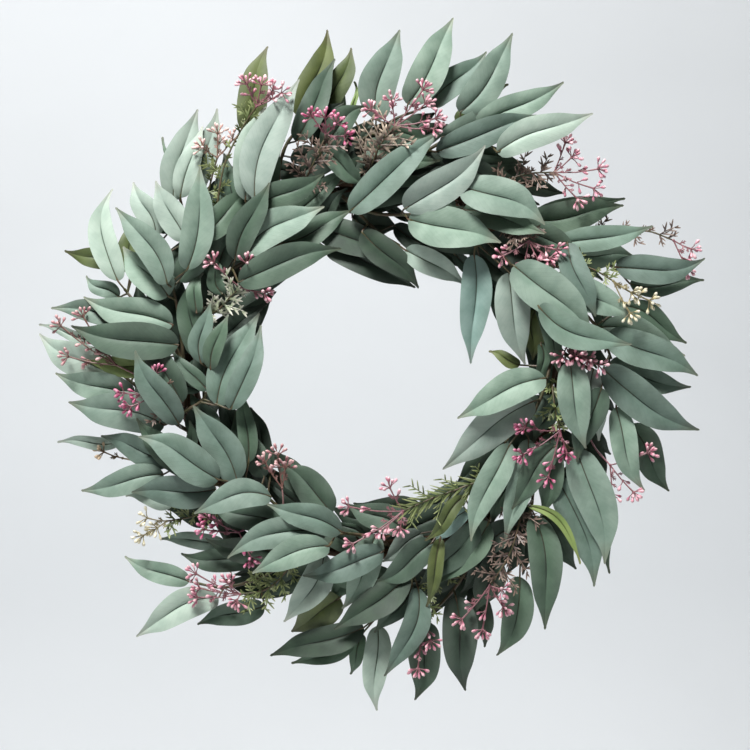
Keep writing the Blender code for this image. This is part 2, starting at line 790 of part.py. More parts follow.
def leaf_rings(row, root, base_depth, tip_depth, grow):
    """The leaf's sections from its root in the stem to its last station, and its tip."""
    base_x, base_z, tip_x, tip_z, width, bow = row[:6]
    arch, roll, fold = character(row)
    chord = Vector((tip_x - base_x, 0, tip_z - base_z))
    along = chord.normalized()
    left = Vector((-along.z, 0, along.x))
    base = face_point(base_x, base_z, base_depth)
    tip = face_point(tip_x, tip_z, tip_depth)
    rise = tip - base

    def section(centre, direction, half_width, half_thickness):
        side, out = across(direction, left)
        spots = (side * half_width, out * half_thickness, -side * half_width, -out * half_thickness)
        return [centre + spot for spot in spots]

    stalk = (base - root).normalized()
    joint = (stalk + rise.normalized()).normalized()
    half_width = PETIOLE_WIDTH + grow
    half_thickness = PETIOLE_THICKNESS / 2 + grow
    rings = [section(root, stalk, half_width, half_thickness), section(base, joint, half_width, half_thickness)]
    for t in BACK_BLADE_STATIONS if row[6] < BEHIND else BLADE_STATIONS:
        bend = 4 * t * (1 - t)
        half = 0.5 * width * BLADE_PEAK * math.sqrt(t) * (1 - t) ** 0.9 + grow
        middle = base + rise * t + left * bow * bend - Vector((0, arch * bend, 0))
        thick = BLADE_THICKNESS / 2 + grow
        edges = [middle + left * half * s - Vector((0, half * (roll * s + fold), 0)) for s in (1, -1)]
        out = Vector((0, -thick, 0))
        rings.append([edges[0], middle + out, edges[1], middle - out])
    return rings, tip + along * grow


def leaf_mesh(row, root, base_depth, tip_depth):
    bm = bmesh.new()
    rings, tip = leaf_rings(row, root, base_depth, tip_depth, 0.0)
    loft(bm, rings, tip)
    return bm


def leaf_shells(row, root, base_depth, tip_depth):
    """The blade and the stalk, each a little larger than it is, to test them against their neighbours."""
    rings, tip = leaf_rings(row, root, base_depth, tip_depth, CLEAR)
    blade = bmesh.new()
    loft(blade, rings[1:], tip)
    stalk = bmesh.new()
    loft(stalk, rings[:2])
    return shell_of(blade), shell_of(stalk)


def rule_leaves(route, first):
    """The leaves that fill a stem by rule, over the ring and behind it."""
    points = smooth_route(route, STEM_STEP)
    made = []
    for share, turn, length, width, base_depth, tip_depth in (*FILL_LEAVES, *(BACK_LEAVES if first else ())):
        at = points[round(share * (len(points) - 1))]
        heading = math.atan2(at.x, at.z) + math.radians(turn)
        ahead = Vector((math.sin(heading), math.cos(heading)))
        base = Vector((at.x, at.z)) + RULE_LEAF_STALK * ahead
        tip = base + length * ahead
        if RULE_LEAF_HOLE < tip.length < RULE_LEAF_REACH and base.length < RULE_LEAF_START:
            bow = RULE_LEAF_BOW if turn < 90 else -RULE_LEAF_BOW
            made.append((base.x, base.y, tip.x, tip.y, width, bow, base_depth, tip_depth))
    return made


def nearest_on(points, spot):
    """The place on a route that lies nearest a point, then a little way back towards its start."""
    best = (1e9, 0, 0.0)
    for i, (start, end) in enumerate(zip(points, points[1:])):
        span = end - start
        share = min(1.0, max(0.0, (spot - start).dot(span) / span.length_squared))
        gap = (start + span * share - spot).length
        if gap < best[0]:
            best = (gap, i, share)
    _, i, share = best
    span = points[i + 1] - points[i]
    share = max(0.08 if i == 0 else 0.0, share - PETIOLE_BACK / span.length)
    return points[i] + span * min(share, 0.93)


def shifts():
    """The depths to try for a leaf, nearest first and forwards before back."""
    pairs = [(a, b) for a in range(-10, 27, 2) for b in range(-12, 37, 3)]
    cost = {pair: sum(abs(step) * (1.0 if step >= 0 else 1.6) for step in pair) for pair in pairs}
    return sorted(pairs, key=cost.get)


SHIFTS = shifts()


def lowest_depth(rings, tip):
    return min(-point.y for point in [tip, *(spot for ring in rings for spot in ring)])


def place_leaf(row, root, own, others, crossings):
    """The leaf's base and tip depths, bent clear of everything placed so far, or nothing where it can't be."""
    for allow_own in crossings:
        for a, b in SHIFTS:
            base_depth, tip_depth = row[6] + a, row[7] + b
            rings, tip = leaf_rings(row, root, base_depth, tip_depth, CLEAR)
            if lowest_depth(rings, tip) < DOOR_CLEAR:
                continue
            blade, stalk = leaf_shells(row, root, base_depth, tip_depth)
            if meets(blade, others) or meets(stalk, others):
                continue
            if allow_own or not meets(blade, own):
                return base_depth, tip_depth
    return None


def place_leaves(rows_of, routes_of, placed, made, crossings):
    """Places each spray's leaves, from the door outwards, and adds their meshes and shells."""
    waiting = []
    for name, rows_by_stem in rows_of.items():
        for rows, points in zip(rows_by_stem, routes_of[name]):
            waiting += [(row, name, nearest_on(points, face_point(row[0], row[1], row[6]))) for row in rows]
    waiting.sort(key=lambda item: item[0][6] + item[0][7])
    for row, name, root in waiting:
        others = [shell for other, shells in placed.items() if other != name for shell in shells]
        depths = place_leaf(row, root, placed[name], others, crossings)
        if depths is None:
            print("left out", name, [round(value) for value in row])
            continue
        bm = leaf_mesh(row, root, *depths)
        placed[name].append(shell_of(bm))
        made[name].append(bm)


def union(name, pieces, material, collection):
    """One body of all the pieces, fused by a Boolean on a collection of them."""
    holder = bpy.data.collections.new(name + "Pieces")
    bpy.context.scene.collection.children.link(holder)
    for piece in pieces:
        collection.objects.unlink(piece)
    for solver, lead in (("EXACT", 0), ("MANIFOLD", 0), ("EXACT", 1), ("MANIFOLD", 1), ("EXACT", -1)):
        first = pieces[lead]
        rest = [piece for piece in pieces if piece is not first]
        collection.objects.link(first)
        for piece in rest:
            holder.objects.link(piece)
        joined = first.modifiers.new("Fuse", "BOOLEAN")
        joined.operation = "UNION"
        joined.operand_type = "COLLECTION"
        joined.collection = holder
        joined.solver = solver
        bpy.context.view_layer.update()
        graph = bpy.context.evaluated_depsgraph_get()
        mesh = bpy.data.meshes.new_from_object(first.evaluated_get(graph))
        first.modifiers.remove(joined)
        collection.objects.unlink(first)
        for piece in rest:
            holder.objects.unlink(piece)
        if made_sound(mesh):
            break
        print(name, solver, "left an open skin")
    for piece in pieces:
        bpy.data.objects.remove(piece, do_unlink=True)
    bpy.data.collections.remove(holder)
    mesh.name = name
    mesh.materials.clear()
    mesh.materials.append(finish(material))
    made = bpy.data.objects.new(name, mesh)
    collection.objects.link(made)
    return made


def sound(bm):
    """Whether every edge has two faces, and all the faces hang together."""
    if not bm.faces or any(len(edge.link_faces) != 2 for edge in bm.edges):
        return False
    bm.faces.index_update()
    seen = set()
    waiting = [bm.faces[:][0]]
    while waiting:
        face = waiting.pop()
        if face.index in seen:
            continue
        seen.add(face.index)
        waiting += [other for edge in face.edges for other in edge.link_faces]
    return len(seen) == len(bm.faces)


def made_sound(mesh):
    """Welds a union's near points and splits its faces, as few as stay one closed skin. Whether any way did."""
    best = None
    for weld in WELDS:
        for way in ("EAR_CLIP", "BEAUTY"):
            for melt in (True, False):
                bm = bmesh.new()
                bm.from_mesh(mesh)
                bmesh.ops.remove_doubles(bm, verts=bm.verts, dist=WELDS[-1])
                if melt:
                    bmesh.ops.dissolve_degenerate(bm, edges=bm.edges, dist=weld)
                bmesh.ops.triangulate(bm, faces=bm.faces, ngon_method=way)
                if not melt:
                    bmesh.ops.remove_doubles(bm, verts=bm.verts, dist=weld)
                if sound(bm) and (best is None or len(bm.faces) < len(best.faces)):
                    best = bm
                else:
                    bm.free()
    if best is None:
        return False
    best.to_mesh(mesh)
    best.free()
    return True


def build_ring(collection):
    """The three canes. Gives their search trees and shells."""
    shells = []
    for number in range(3):
        bm = tube(cane_points(number), CANE_RADIUS, CANE_RADIUS, 1, cyclic=True)
        shells.append(shell_of(bm))
        cane = mesh_object(f"RingCane{number + 1}", bm, collection)
        cane.data.materials.append(finish("cane"))
        cane.data.shade_smooth()
    return shells


def grown(points, start_radius, end_radius):
    """The shell of a stem, a little fatter than it is."""
    bm = tube(points, start_radius + CLEAR, end_radius + CLEAR, 0)
    shell = shell_of(bm)
    bm.free()
    return shell


def lay_stems(trees):
    """Each spray's stems as points, with the first seated on the ring and a fork sunk into the first."""
    laid = {}
    for name, stems in SPRAYS.items():
        routes = []
        for i, stem in enumerate(stems):
            if i == 0:
                points = smooth_route(rooted(stem["route"]), STEM_STEP)
                points = seated(points, STEM_RADIUS, STEM_TIP_RADIUS, trees)
            else:
                points = smooth_route(stem["route"], STEM_STEP)
                points[0] = nearest_on(routes[0], points[0])
            routes.append(points)
        laid[name] = routes
    return laid


def needle_ends(points, count):
    """The starts and ends of a twig's needles: in threes along its outer part, forked out from it."""
    made = []
    for i in range(count):
        share = NEEDLE_FIRST + (NEEDLE_LAST - NEEDLE_FIRST) * i / max(1, count - 1)
        spot = share * (len(points) - 1)
        start = points[int(spot)].lerp(points[int(spot) + 1], spot - int(spot))
        along = (points[int(spot) + 1] - points[int(spot)]).normalized()
        side, out = across(along, Vector((-along.z, 0, along.x)))
        lean = side * (1 if i % 2 else -1) + out * NEEDLE_TILTS[i % 3]
        heading = (along * NEEDLE_AHEAD + lean.normalized()).normalized()
        made.append((start, start + heading * NEEDLE_LENGTH))
    return made


def bud_ends(fork, centre, number):
    """The tips of an umbel's buds round the end of its ray, fanned out and turned in and out by turns."""
    away = Vector((centre.x - fork.x, 0, centre.z - fork.z)).normalized()
    count = 2 + number % 2
    made = []
    for k in range(count):
        turn = BUD_FAN * (k - (count - 1) / 2) + BUD_TURN * math.sin(3.1 * number)
        fan = Vector(
            (
                away.x * math.cos(turn) - away.z * math.sin(turn),
                BUD_STAGGER * (-1 if k % 2 else 1),
                away.x * math.sin(turn) + away.z * math.cos(turn),
            )
        )
        made.append(centre + fan.normalized() * BUD_LENGTH)
    return made


def add_bud(bm, start, end, roll, grow):
    """A bud on its stalk: a three-sided teardrop, its stalk sunk into the swollen end of the ray."""
    along = (end - start).normalized()
    belly = start.lerp(end, BUD_BELLY)
    ring = [bm.verts.new(point) for point in ring_of(belly, along, BUD_RADIUS + grow, 3, roll)]
    root = bm.verts.new(start - along * BUD_ROOT)
    tip = bm.verts.new(end + along * grow)
    for i in range(3):
        bm.faces.new((ring[(i + 1) % 3], ring[i], root))
        bm.faces.new((ring[i], ring[(i + 1) % 3], tip))


def umbel_pieces(fork, centre, number, grow):
    """The ray and the buds of one umbel, each a closed bmesh."""
    ray = bmesh.new()
    end = centre + (centre - fork).normalized() * RAY_PAST
    taper(ray, fork, end, RAY_RADIUS + grow, RAY_END_RADIUS + grow, 3)
    pieces = [ray]
    for roll, end in enumerate(bud_ends(fork, centre, number)):
        bud = bmesh.new()
        add_bud(bud, centre, end, BUD_ROLL * roll, grow)
        pieces.append(bud)
    return pieces


def place_umbel(fork, x, z, stand, number, others):
    """The umbel's centre, moved out or in until it meets nothing, or nothing where it can't be."""
    for step in UMBEL_SHIFTS:
        centre = face_point(x, z, stand + step)
        pieces = umbel_pieces(fork, centre, number, CLEAR)
        shells = [shell_of(piece) for piece in pieces]
        for piece in pieces:
            piece.free()
        low = min(-shell[2].y for shell in shells)
        if low > DOOR_CLEAR and not any(meets(shell, others) for shell in shells):
            return centre
    return None


def place_pick(name, pick, points, placed):
    """The pieces of one pick: its twig and needles, and its receptacle, rays and buds."""
    others = [shell for other, shells in placed.items() if other != name for shell in shells]
    twig = [tube(points, TWIG_RADIUS, TWIG_TIP_RADIUS, 0)]
    for start, end in needle_ends(points, pick["needles"]):
        bm = bmesh.new()
        taper(bm, start, end, NEEDLE_RADIUS, NEEDLE_TIP_RADIUS, 3)
        if meets(shell_of(bm), others):
            bm.free()
            continue
        placed[name].append(shell_of(bm))
        twig.append(bm)
    one_node = is_one_node(pick)
    away = (points[-1] - points[-2]).normalized()
    fork = points[-1] + away * (0.0 if one_node else RECEPTACLE_GAP)
    receptacle = bmesh.new()
    turn = away.to_track_quat("Z", "Y").to_matrix().to_4x4()
    bmesh.ops.create_cube(receptacle, size=RECEPTACLE_SIZE, matrix=Matrix.Translation(fork) @ turn)
    buds = [receptacle]
    own = [] if one_node else placed[name]
    for number, (x, z) in enumerate(pick["umbels"]):
        centre = place_umbel(fork, x, z, pick["stand"], number, [*others, *own])
        if centre is None:
            print("left out", name, x, z)
            continue
        buds += umbel_pieces(fork, centre, number, 0.0)
    placed[name] += [shell_of(bm) for bm in buds]
    return twig, buds


def is_one_node(pick):
    bud_finish, twig_finish = pick["finish"]
    return bud_finish == twig_finish


def build():
    clear_scene()
    wreath = bpy.data.collections.new("EucalyptusWreath")
    bpy.context.scene.collection.children.link(wreath)
    ring = build_ring(wreath)
    trees = [shell[0] for shell in ring]
    sprays = lay_stems(trees)
    twigs = {}
    for name, pick in PICKS.items():
        points = smooth_route(rooted(pick["route"]), STEM_STEP)
        twigs[name] = seated(points, TWIG_RADIUS, TWIG_TIP_RADIUS, trees)
    placed = {"ring": list(ring)}
    for name, routes in sprays.items():
        placed[name] = [grown(points, STEM_RADIUS, STEM_TIP_RADIUS) for points in routes]
    for name, points in twigs.items():
        placed[name] = [grown(points, TWIG_RADIUS, TWIG_TIP_RADIUS)]

    leaves = {name: [] for name in SPRAYS}
    seen = {name: [stem["leaves"] for stem in stems] for name, stems in SPRAYS.items()}
    place_leaves(seen, sprays, placed, leaves, (False, True))
    picks = {name: place_pick(name, pick, twigs[name], placed) for name, pick in PICKS.items()}
    filling = {}
    for name, stems in SPRAYS.items():
        filling[name] = [rule_leaves(stem["route"], i == 0) for i, stem in enumerate(stems)]
    place_leaves(filling, sprays, placed, leaves, (False,))

    for name, routes in sprays.items():
        pieces = []
        for i, points in enumerate(routes):
            start = STEM_RADIUS if i == 0 else FORK_RADIUS
            pieces.append(tube(points, start, STEM_TIP_RADIUS, 0))
        fused(name, [*pieces, *leaves[name]], "leaf", wreath)
    for name, pick in PICKS.items():
        bud_finish, twig_finish = pick["finish"]
        twig, buds = picks[name]
        if is_one_node(pick):
            fused(name, [*twig, *buds], bud_finish, wreath)
            continue
        fused(name + "Twig", twig, twig_finish, wreath)
        fused(name + "Buds", buds, bud_finish, wreath)
    hanger = bpy.data.objects.new("HookPoint", None)
    wreath.objects.link(hanger)
    for part in wreath.objects:
        if part.type == "MESH":
            part.parent = hanger


def fused(name, bodies, material, collection):
    union(name, [mesh_object("piece", bm, collection) for bm in bodies], material, collection)


build()
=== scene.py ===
import math
import random

import bpy
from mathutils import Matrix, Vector, noise
from mathutils.bvhtree import BVHTree
from mathutils.kdtree import KDTree


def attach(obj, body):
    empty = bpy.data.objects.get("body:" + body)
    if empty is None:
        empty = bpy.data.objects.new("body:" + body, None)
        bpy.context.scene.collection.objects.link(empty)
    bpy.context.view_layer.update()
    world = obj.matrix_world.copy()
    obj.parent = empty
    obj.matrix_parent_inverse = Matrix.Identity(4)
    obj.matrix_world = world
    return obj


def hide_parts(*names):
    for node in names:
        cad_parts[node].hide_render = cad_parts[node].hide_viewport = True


# An artificial eucalyptus wreath, hung flat: long willow-like leaves of pressed cloth on moulded stems, with
# picks of pink, magenta and cream berries, on a ring of twisted vine.
# The tables are in millimetres on the wreath's face: x right and z up from the ring's middle, d forward from
# the wreath's back. Points in that space are (x, -d, z).

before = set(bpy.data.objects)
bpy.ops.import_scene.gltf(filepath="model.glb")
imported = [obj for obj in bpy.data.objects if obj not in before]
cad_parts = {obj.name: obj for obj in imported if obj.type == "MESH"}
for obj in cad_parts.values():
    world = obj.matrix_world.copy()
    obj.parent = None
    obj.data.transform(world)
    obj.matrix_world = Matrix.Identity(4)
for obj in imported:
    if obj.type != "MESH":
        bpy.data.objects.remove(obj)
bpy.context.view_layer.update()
print("frame:", len(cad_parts), "nodes")

wreath = {
    "ringRadius": 185,
    "ringDepth": 22,    # the ring's core stands this far forward
    "hangDrop": 170.9,  # from the frame's origin, where the wreath hangs, down to the ring's middle
}
fullTurn = 2 * math.pi
goldenTurn = 2.39996    # from one needle or berry to the next round their stalk
backwards = Vector((0, 1, 0))
sideways = Vector((1, 0, 0))


def facePoint(x, z, d):
    return Vector((x, -d, z))


def toWorld(point):
    return (point.x / 1000, (point.y + wreath["ringDepth"]) / 1000, (point.z - wreath["hangDrop"]) / 1000)


def toFace(place):
    return Vector((place.x * 1000, place.y * 1000 - wreath["ringDepth"], place.z * 1000 + wreath["hangDrop"]))


def hexColour(code):
    # an sRGB hex code as a linear colour
    parts = [int(code[i : i + 2], 16) / 255 for i in (1, 3, 5)]
    return (*[c / 12.92 if c <= 0.04045 else ((c + 0.055) / 1.055) ** 2.4 for c in parts], 1.0)


def addObject(name, data):
    made = bpy.data.objects.new(name, data)
    bpy.context.scene.collection.objects.link(made)
    return made


def setInputs(tree, node, inputs):
    # each input as a value, or as a link from another node's output
    for name, value in inputs.items():
        if isinstance(value, bpy.types.NodeSocket):
            tree.links.new(value, node.inputs[name])
        else:
            node.inputs[name].default_value = value


def addNode(tree, kind, inputs, out=0, **settings):
    # a node with its settings and inputs, which gives the output that is asked for
    node = tree.nodes.new("ShaderNode" + kind)
    for name, value in settings.items():
        setattr(node, name, value)
    setInputs(tree, node, inputs)
    return node.outputs[out]


def newMaterial(name, *numbers):
    # a material, its tree and shader, and the outputs of those numbers that a piece's points carry
    made = bpy.data.materials.new(name)
    made.use_nodes = True
    tree = made.node_tree
    outputs = [addNode(tree, "Attribute", {}, "Fac", attribute_name=title) for title in numbers]
    return made, tree, tree.nodes["Principled BSDF"], *outputs


# Camera, backdrop and light

studio = {
    "lens": 100,            # long, so that near and far leaves keep their size
    "sensor": 36,
    "pictureWide": 0.75,    # m across the picture at the point aimed at
    "aim": (5, -10, 45),
    "floorZ": -1.5,
    "floorFront": -3.5,
    "backdropY": 3.4,
    "backdropTop": 4.2,
    "halfWide": 4.5,
    "sweep": 0.8,           # the radius that the floor bends up with
    "paper": "#EFF2F4",
    "paperShade": "#E3E6E8",
    "sky": "#EAEEF2",
    "skyStrength": 0.07,
}
lamps = {
    "KeyLight": {"power": 130, "size": 0.8, "place": (-0.6, -1.4, 2.0)},
    "FillLight": {"power": 1.5, "size": 2.2, "place": (1.7, -1.9, -0.2)},
    "BackdropLight": {"power": 66, "size": 2.0, "place": (-1.0, 1.5, 2.9), "target": (-0.3, 3.4, 0.7)},
    "BehindLight": {"power": 34, "size": 1.4, "place": (1.5, 2.1, 1.2)},
}


def mattEmulsionRolled():
    # Matt emulsion rolled on board: even, quite flat and faintly stippled.
    made, tree, shader = newMaterial("mattEmulsionPaintRolled")
    stipple = addNode(tree, "TexNoise", {"Scale": 9.0, "Detail": 3.0})
    layers = {0: stipple, 6: hexColour(studio["paper"]), 7: hexColour(studio["paperShade"])}
    colour = addNode(tree, "Mix", layers, 2, data_type="RGBA")
    setInputs(tree, shader, {"Base Color": colour, "Roughness": 0.8})
    return made


def addBackdrop():
    sweep, floorZ, backY = studio["sweep"], studio["floorZ"], studio["backdropY"]
    profile = [(studio["floorFront"], floorZ), (backY - sweep, floorZ)]
    for i in range(1, 13):
        turn = math.radians(90) * i / 12
        profile.append((backY - sweep + sweep * math.sin(turn), floorZ + sweep - sweep * math.cos(turn)))
    profile.append((backY, studio["backdropTop"]))
    places = [(x, y, z) for y, z in profile for x in (-studio["halfWide"], studio["halfWide"])]
    faces = [(2 * i, 2 * i + 1, 2 * i + 3, 2 * i + 2) for i in range(len(profile) - 1)]
    mesh = bpy.data.meshes.new("FloorSweep")
    mesh.from_pydata(places, [], faces)
    mesh.materials.append(mattEmulsionRolled())
    mesh.shade_smooth()
    addObject("FloorSweep", mesh)


def setStudio():
    middle = Vector(toWorld(facePoint(*studio["aim"])))
    view = bpy.data.cameras.new("Camera")
    view.lens = studio["lens"]
    view.sensor_width = studio["sensor"]
    camera = addObject("Camera", view)
    camera.location = middle - backwards * (studio["pictureWide"] * studio["lens"] / studio["sensor"])
    camera.rotation_euler = (math.radians(90), 0, 0)
    bpy.context.scene.camera = camera
    addBackdrop()
    for name, lamp in lamps.items():
        light = bpy.data.lights.new(name, "AREA")
        light.energy = lamp["power"]
        light.size = lamp["size"]
        made = addObject(name, light)
        made.location = lamp["place"]
        way = Vector(lamp.get("target", middle)) - Vector(lamp["place"])
        made.rotation_euler = way.to_track_quat("-Z", "Y").to_euler()
    world = bpy.data.worlds.new("PaleRoom")
    world.use_nodes = True
    sky = {"Color": hexColour(studio["sky"]), "Strength": studio["skyStrength"]}
    setInputs(world.node_tree, world.node_tree.nodes["Background"], sky)
    bpy.context.scene.world = world
    bpy.context.scene.view_settings.view_transform = "Standard"
    print("studio set")


setStudio()


# Materials. Each piece carries four numbers at its points: along and across it in millimetres, its share
# from root to tip, and one random tint for the whole leaf or berry.

# a leaf's body, mottle, rib line and painted shade, tip, and its body seen from behind
# the greens from pale to deep are one cloth at steps of lightness, set leaf by leaf: partly the leaves' own
# range of tone and partly painted light and shade, the darker steps painting the shade on leaves that lie
# under others or deep in the wreath
tones = {
    "pale": ("#AEBFB1", "#9FB2A4", "#3D5044", "#A5A498", "#A0AE9B"),
    "sage": ("#8CA291", "#7B9382", "#26362C", "#84826F", "#788A6C"),
    "muted": ("#71887A", "#637A6B", "#1E2C23", "#6C6C5A", "#61725A"),
    "dark": ("#566D59", "#4A614E", "#16221A", "#565745", "#4A5A3E"),
    "deep": ("#364939", "#2C3D30", "#0E150F", "#35382B", "#2F3B25"),
    "olive": ("#5E6A38", "#4F5C2E", "#273018", "#574D3C", "#5C693B"),
    "fresh": ("#8C9F5C", "#7E9452", "#56652F", "#938E62", "#94A56C"),
    "blue": ("#8FAAA2", "#7F9C93", "#3F5650", "#868C84", "#8FA39B"),
}
leafCloth = {
    "thread": 1.1,          # mm; the real cloth has a thread every 0.25 mm, drawn coarser so that it shows
    "veinSpacing": 6.5,
    "veinSlant": 1.25,      # mm forward for each mm out
    "mottle": 15,           # mm from one pale patch to the next
    "paleEdge": "#D5DED3",
    "tintStep": 400,        # mm between one leaf's place on the cloth and another's
    "waveUnit": fullTurn / 20,  # a wave texture's scale for one wave a mm
}


def leafClothPressed(tone, under=False):
    # Polyester cloth, woven, dyed and heat-pressed over a leaf mould: matt and dusty, with a fine thread, a
    # sharp sunken rib with a dark line in it that is partly its print and partly painted shade in the groove,
    # faint side veins, patches where the dye is thin, and a root darkened with painted shade.
    body, mottle, ribAndShadeColour, tip, back = [hexColour(code) for code in tones[tone]]
    name = "polyesterClothPressed" + tone.capitalize() + ("Back" if under else "")
    made, tree, shader, along, across, share, tint = newMaterial(name, "along", "across", "share", "tint")
    aside = addNode(tree, "Math", {0: across}, operation="ABSOLUTE")
    step = addNode(tree, "Math", {0: tint, 1: leafCloth["tintStep"]}, operation="MULTIPLY")
    cloth = addNode(tree, "CombineXYZ", {0: along, 1: across, 2: step})
    patches = addNode(tree, "TexNoise", {"Vector": cloth, "Scale": 1 / leafCloth["mottle"], "Detail": 4.0})

    threads = {"Vector": cloth, "Scale": leafCloth["waveUnit"] / leafCloth["thread"], "Distortion": 0.4}
    warp, weft = [addNode(tree, "TexWave", threads, "Fac", bands_direction=way) for way in "XY"]
    weave = addNode(tree, "Math", {0: warp, 1: weft}, operation="ADD")
    # side veins run forward from the rib, whose dark line ends about two thirds along
    slant = addNode(tree, "Math", {0: aside, 1: -leafCloth["veinSlant"], 2: along}, operation="MULTIPLY_ADD")
    slantPlace = addNode(tree, "CombineXYZ", {0: slant})
    veinScale = leafCloth["waveUnit"] / leafCloth["veinSpacing"]
    veins = {"Vector": slantPlace, "Scale": veinScale, "Distortion": 1.2}
    veinWave = addNode(tree, "TexWave", veins, "Fac", bands_direction="X")
    veinLine = addNode(tree, "MapRange", {0: veinWave, 1: 0.8, 2: 1.0})
    veinClear = addNode(tree, "MapRange", {0: aside, 1: 0.6, 2: 2.5})
    vein = addNode(tree, "Math", {0: veinLine, 1: veinClear}, operation="MULTIPLY")
    # the rib's dark line: partly its print, partly painted shade in the sunken groove
    ribWide = {0: aside, 1: 0.35, 2: 0.85, 3: 1.0, 4: 0.0}
    ribNear = addNode(tree, "MapRange", ribWide, interpolation_type="SMOOTHSTEP")
    ribEnd = addNode(tree, "MapRange", {0: share, 1: 0.52, 2: 0.72, 3: 0.95, 4: 0.0})
    rib = addNode(tree, "Math", {0: ribNear, 1: ribEnd}, operation="MULTIPLY")

    # each layer of colour follows a number from one value to another, with its share at either one
    colour = back if under else body
    for number, low, high, lowShare, highShare, layer in (
        (patches, 0.38, 0.64, 0.0, 1.0, mottle),
        (aside, 4.0, 19.0, 0.0, 0.10, hexColour(leafCloth["paleEdge"])),
        (vein, 0.0, 1.0, 0.0, 0.04, ribAndShadeColour),
        (rib, 0.0, 1.0, 0.0, 0.35 if under else 0.85, ribAndShadeColour),
        (share, 0.80, 1.0, 0.0, 0.75, tip),         # scorched a little by the press
        (share, 0.0, 0.16, 0.45, 0.0, ribAndShadeColour),   # painted shade: darker at the root
    ):
        amount = addNode(tree, "MapRange", {0: number, 1: low, 2: high, 3: lowShare, 4: highShare})
        colour = addNode(tree, "Mix", {0: amount, 6: colour, 7: layer}, 2, data_type="RGBA")

    weaveShade = addNode(tree, "MapRange", {0: weave, 1: 0.0, 2: 2.0, 3: 0.93, 4: 1.05})
    lightness = addNode(tree, "MapRange", {0: tint, 3: 0.78, 4: 1.12})
    value = addNode(tree, "Math", {0: lightness, 1: weaveShade}, operation="MULTIPLY")
    hue = addNode(tree, "MapRange", {0: tint, 3: 0.512, 4: 0.49})
    grain = addNode(tree, "TexNoise", {"Vector": cloth, "Scale": 0.9, "Detail": 2.0})
    threadBump = addNode(tree, "Bump", {"Height": weave, "Strength": 0.22, "Distance": 0.0002})
    veinRelief = {"Height": vein, "Strength": 0.10, "Distance": 0.0004, "Normal": threadBump}
    surface = {
        "Base Color": addNode(tree, "HueSaturation", {"Hue": hue, "Value": value, "Color": colour}),
        "Roughness": addNode(tree, "MapRange", {0: grain, 3: 0.49, 4: 0.66}),
        "Normal": addNode(tree, "Bump", veinRelief, invert=not under),
        "Sheen Weight": 0.22,
        "Sheen Roughness": 0.45,
        "IOR": 1.46,
    }
    setInputs(tree, shader, surface)
    return made


stemPlastic = {"bark": "#4A4B2E", "brown": "#5A4636", "patch": 9, "grain": 3.0}


def polyetheneStemMoulded():
    # Polyethene moulded over wire: olive with brown patches, a low satin gloss and a slightly ridged skin.
    made, tree, shader, along, across, tint = newMaterial("polyetheneStemMoulded", "along", "across", "tint")
    place = addNode(tree, "CombineXYZ", {0: along, 1: across, 2: tint})
    patches = addNode(tree, "TexNoise", {"Vector": place, "Scale": 1 / stemPlastic["patch"], "Detail": 4.0})
    browned = addNode(tree, "MapRange", {0: patches, 1: 0.40, 2: 0.62})
    layers = {0: browned, 6: hexColour(stemPlastic["bark"]), 7: hexColour(stemPlastic["brown"])}
    colour = addNode(tree, "Mix", layers, 2, data_type="RGBA")
    value = addNode(tree, "MapRange", {0: tint, 3: 0.8, 4: 1.25})
    ridges = addNode(tree, "TexNoise", {"Vector": place, "Scale": 1 / stemPlastic["grain"], "Detail": 3.0})
    surface = {
        "Base Color": addNode(tree, "HueSaturation", {"Value": value, "Color": colour}),
        "Roughness": addNode(tree, "MapRange", {0: ridges, 3: 0.42, 4: 0.62}),
        "Normal": addNode(tree, "Bump", {"Height": ridges, "Strength": 0.5, "Distance": 0.0004}),
        "IOR": 1.51,
    }
    setInputs(tree, shader, surface)
    return made


vineBark = {"dark": "#2E2118", "light": "#6A4D36", "fibre": 1.6, "length": 26}


def grapevineDried():
    # Grapevine, dried and twisted with its bark on: brown, matt, in long stringy fibres with dark cracks.
    made, tree, shader, along, across = newMaterial("grapevineDriedTwisted", "along", "across")
    longWays = addNode(tree, "Math", {0: along, 1: 1 / vineBark["length"]}, operation="MULTIPLY")
    roundWays = addNode(tree, "Math", {0: across, 1: 1 / vineBark["fibre"]}, operation="MULTIPLY")
    place = addNode(tree, "CombineXYZ", {0: longWays, 1: roundWays})
    fibres = addNode(tree, "TexNoise", {"Vector": place, "Scale": 1.0, "Detail": 5.0, "Roughness": 0.65})
    lit = addNode(tree, "MapRange", {0: fibres, 1: 0.34, 2: 0.68})
    layers = {0: lit, 6: hexColour(vineBark["dark"]), 7: hexColour(vineBark["light"])}
    surface = {
        "Base Color": addNode(tree, "Mix", layers, 2, data_type="RGBA"),
        "Normal": addNode(tree, "Bump", {"Height": fibres, "Strength": 0.8, "Distance": 0.0012}),
        "Roughness": 0.85,
        "IOR": 1.45,
    }
    setInputs(tree, shader, surface)
    return made


# a berry's root, body and pale tip, which is partly a painted highlight, then its stalk
berryColours = {
    "pink": ("#A95A74", "#D78FA0", "#F4DCDA", "#A56A78"),
    "rose": ("#8A565A", "#B98386", "#E3C5C0", "#8C625C"),
    "blush": ("#B98A80", "#E3BEB6", "#F3DFD8", "#9A7A6A"),
    "magenta": ("#85304F", "#C25A80", "#ECB6C6", "#8E4C64"),
    "cream": ("#B6A873", "#E2DABB", "#F1ECD8", "#9A9468"),
    "beige": ("#7E6448", "#B89C7C", "#DCC8AC", "#8A7458"),
}
twigBrown = "#5F4A3C"


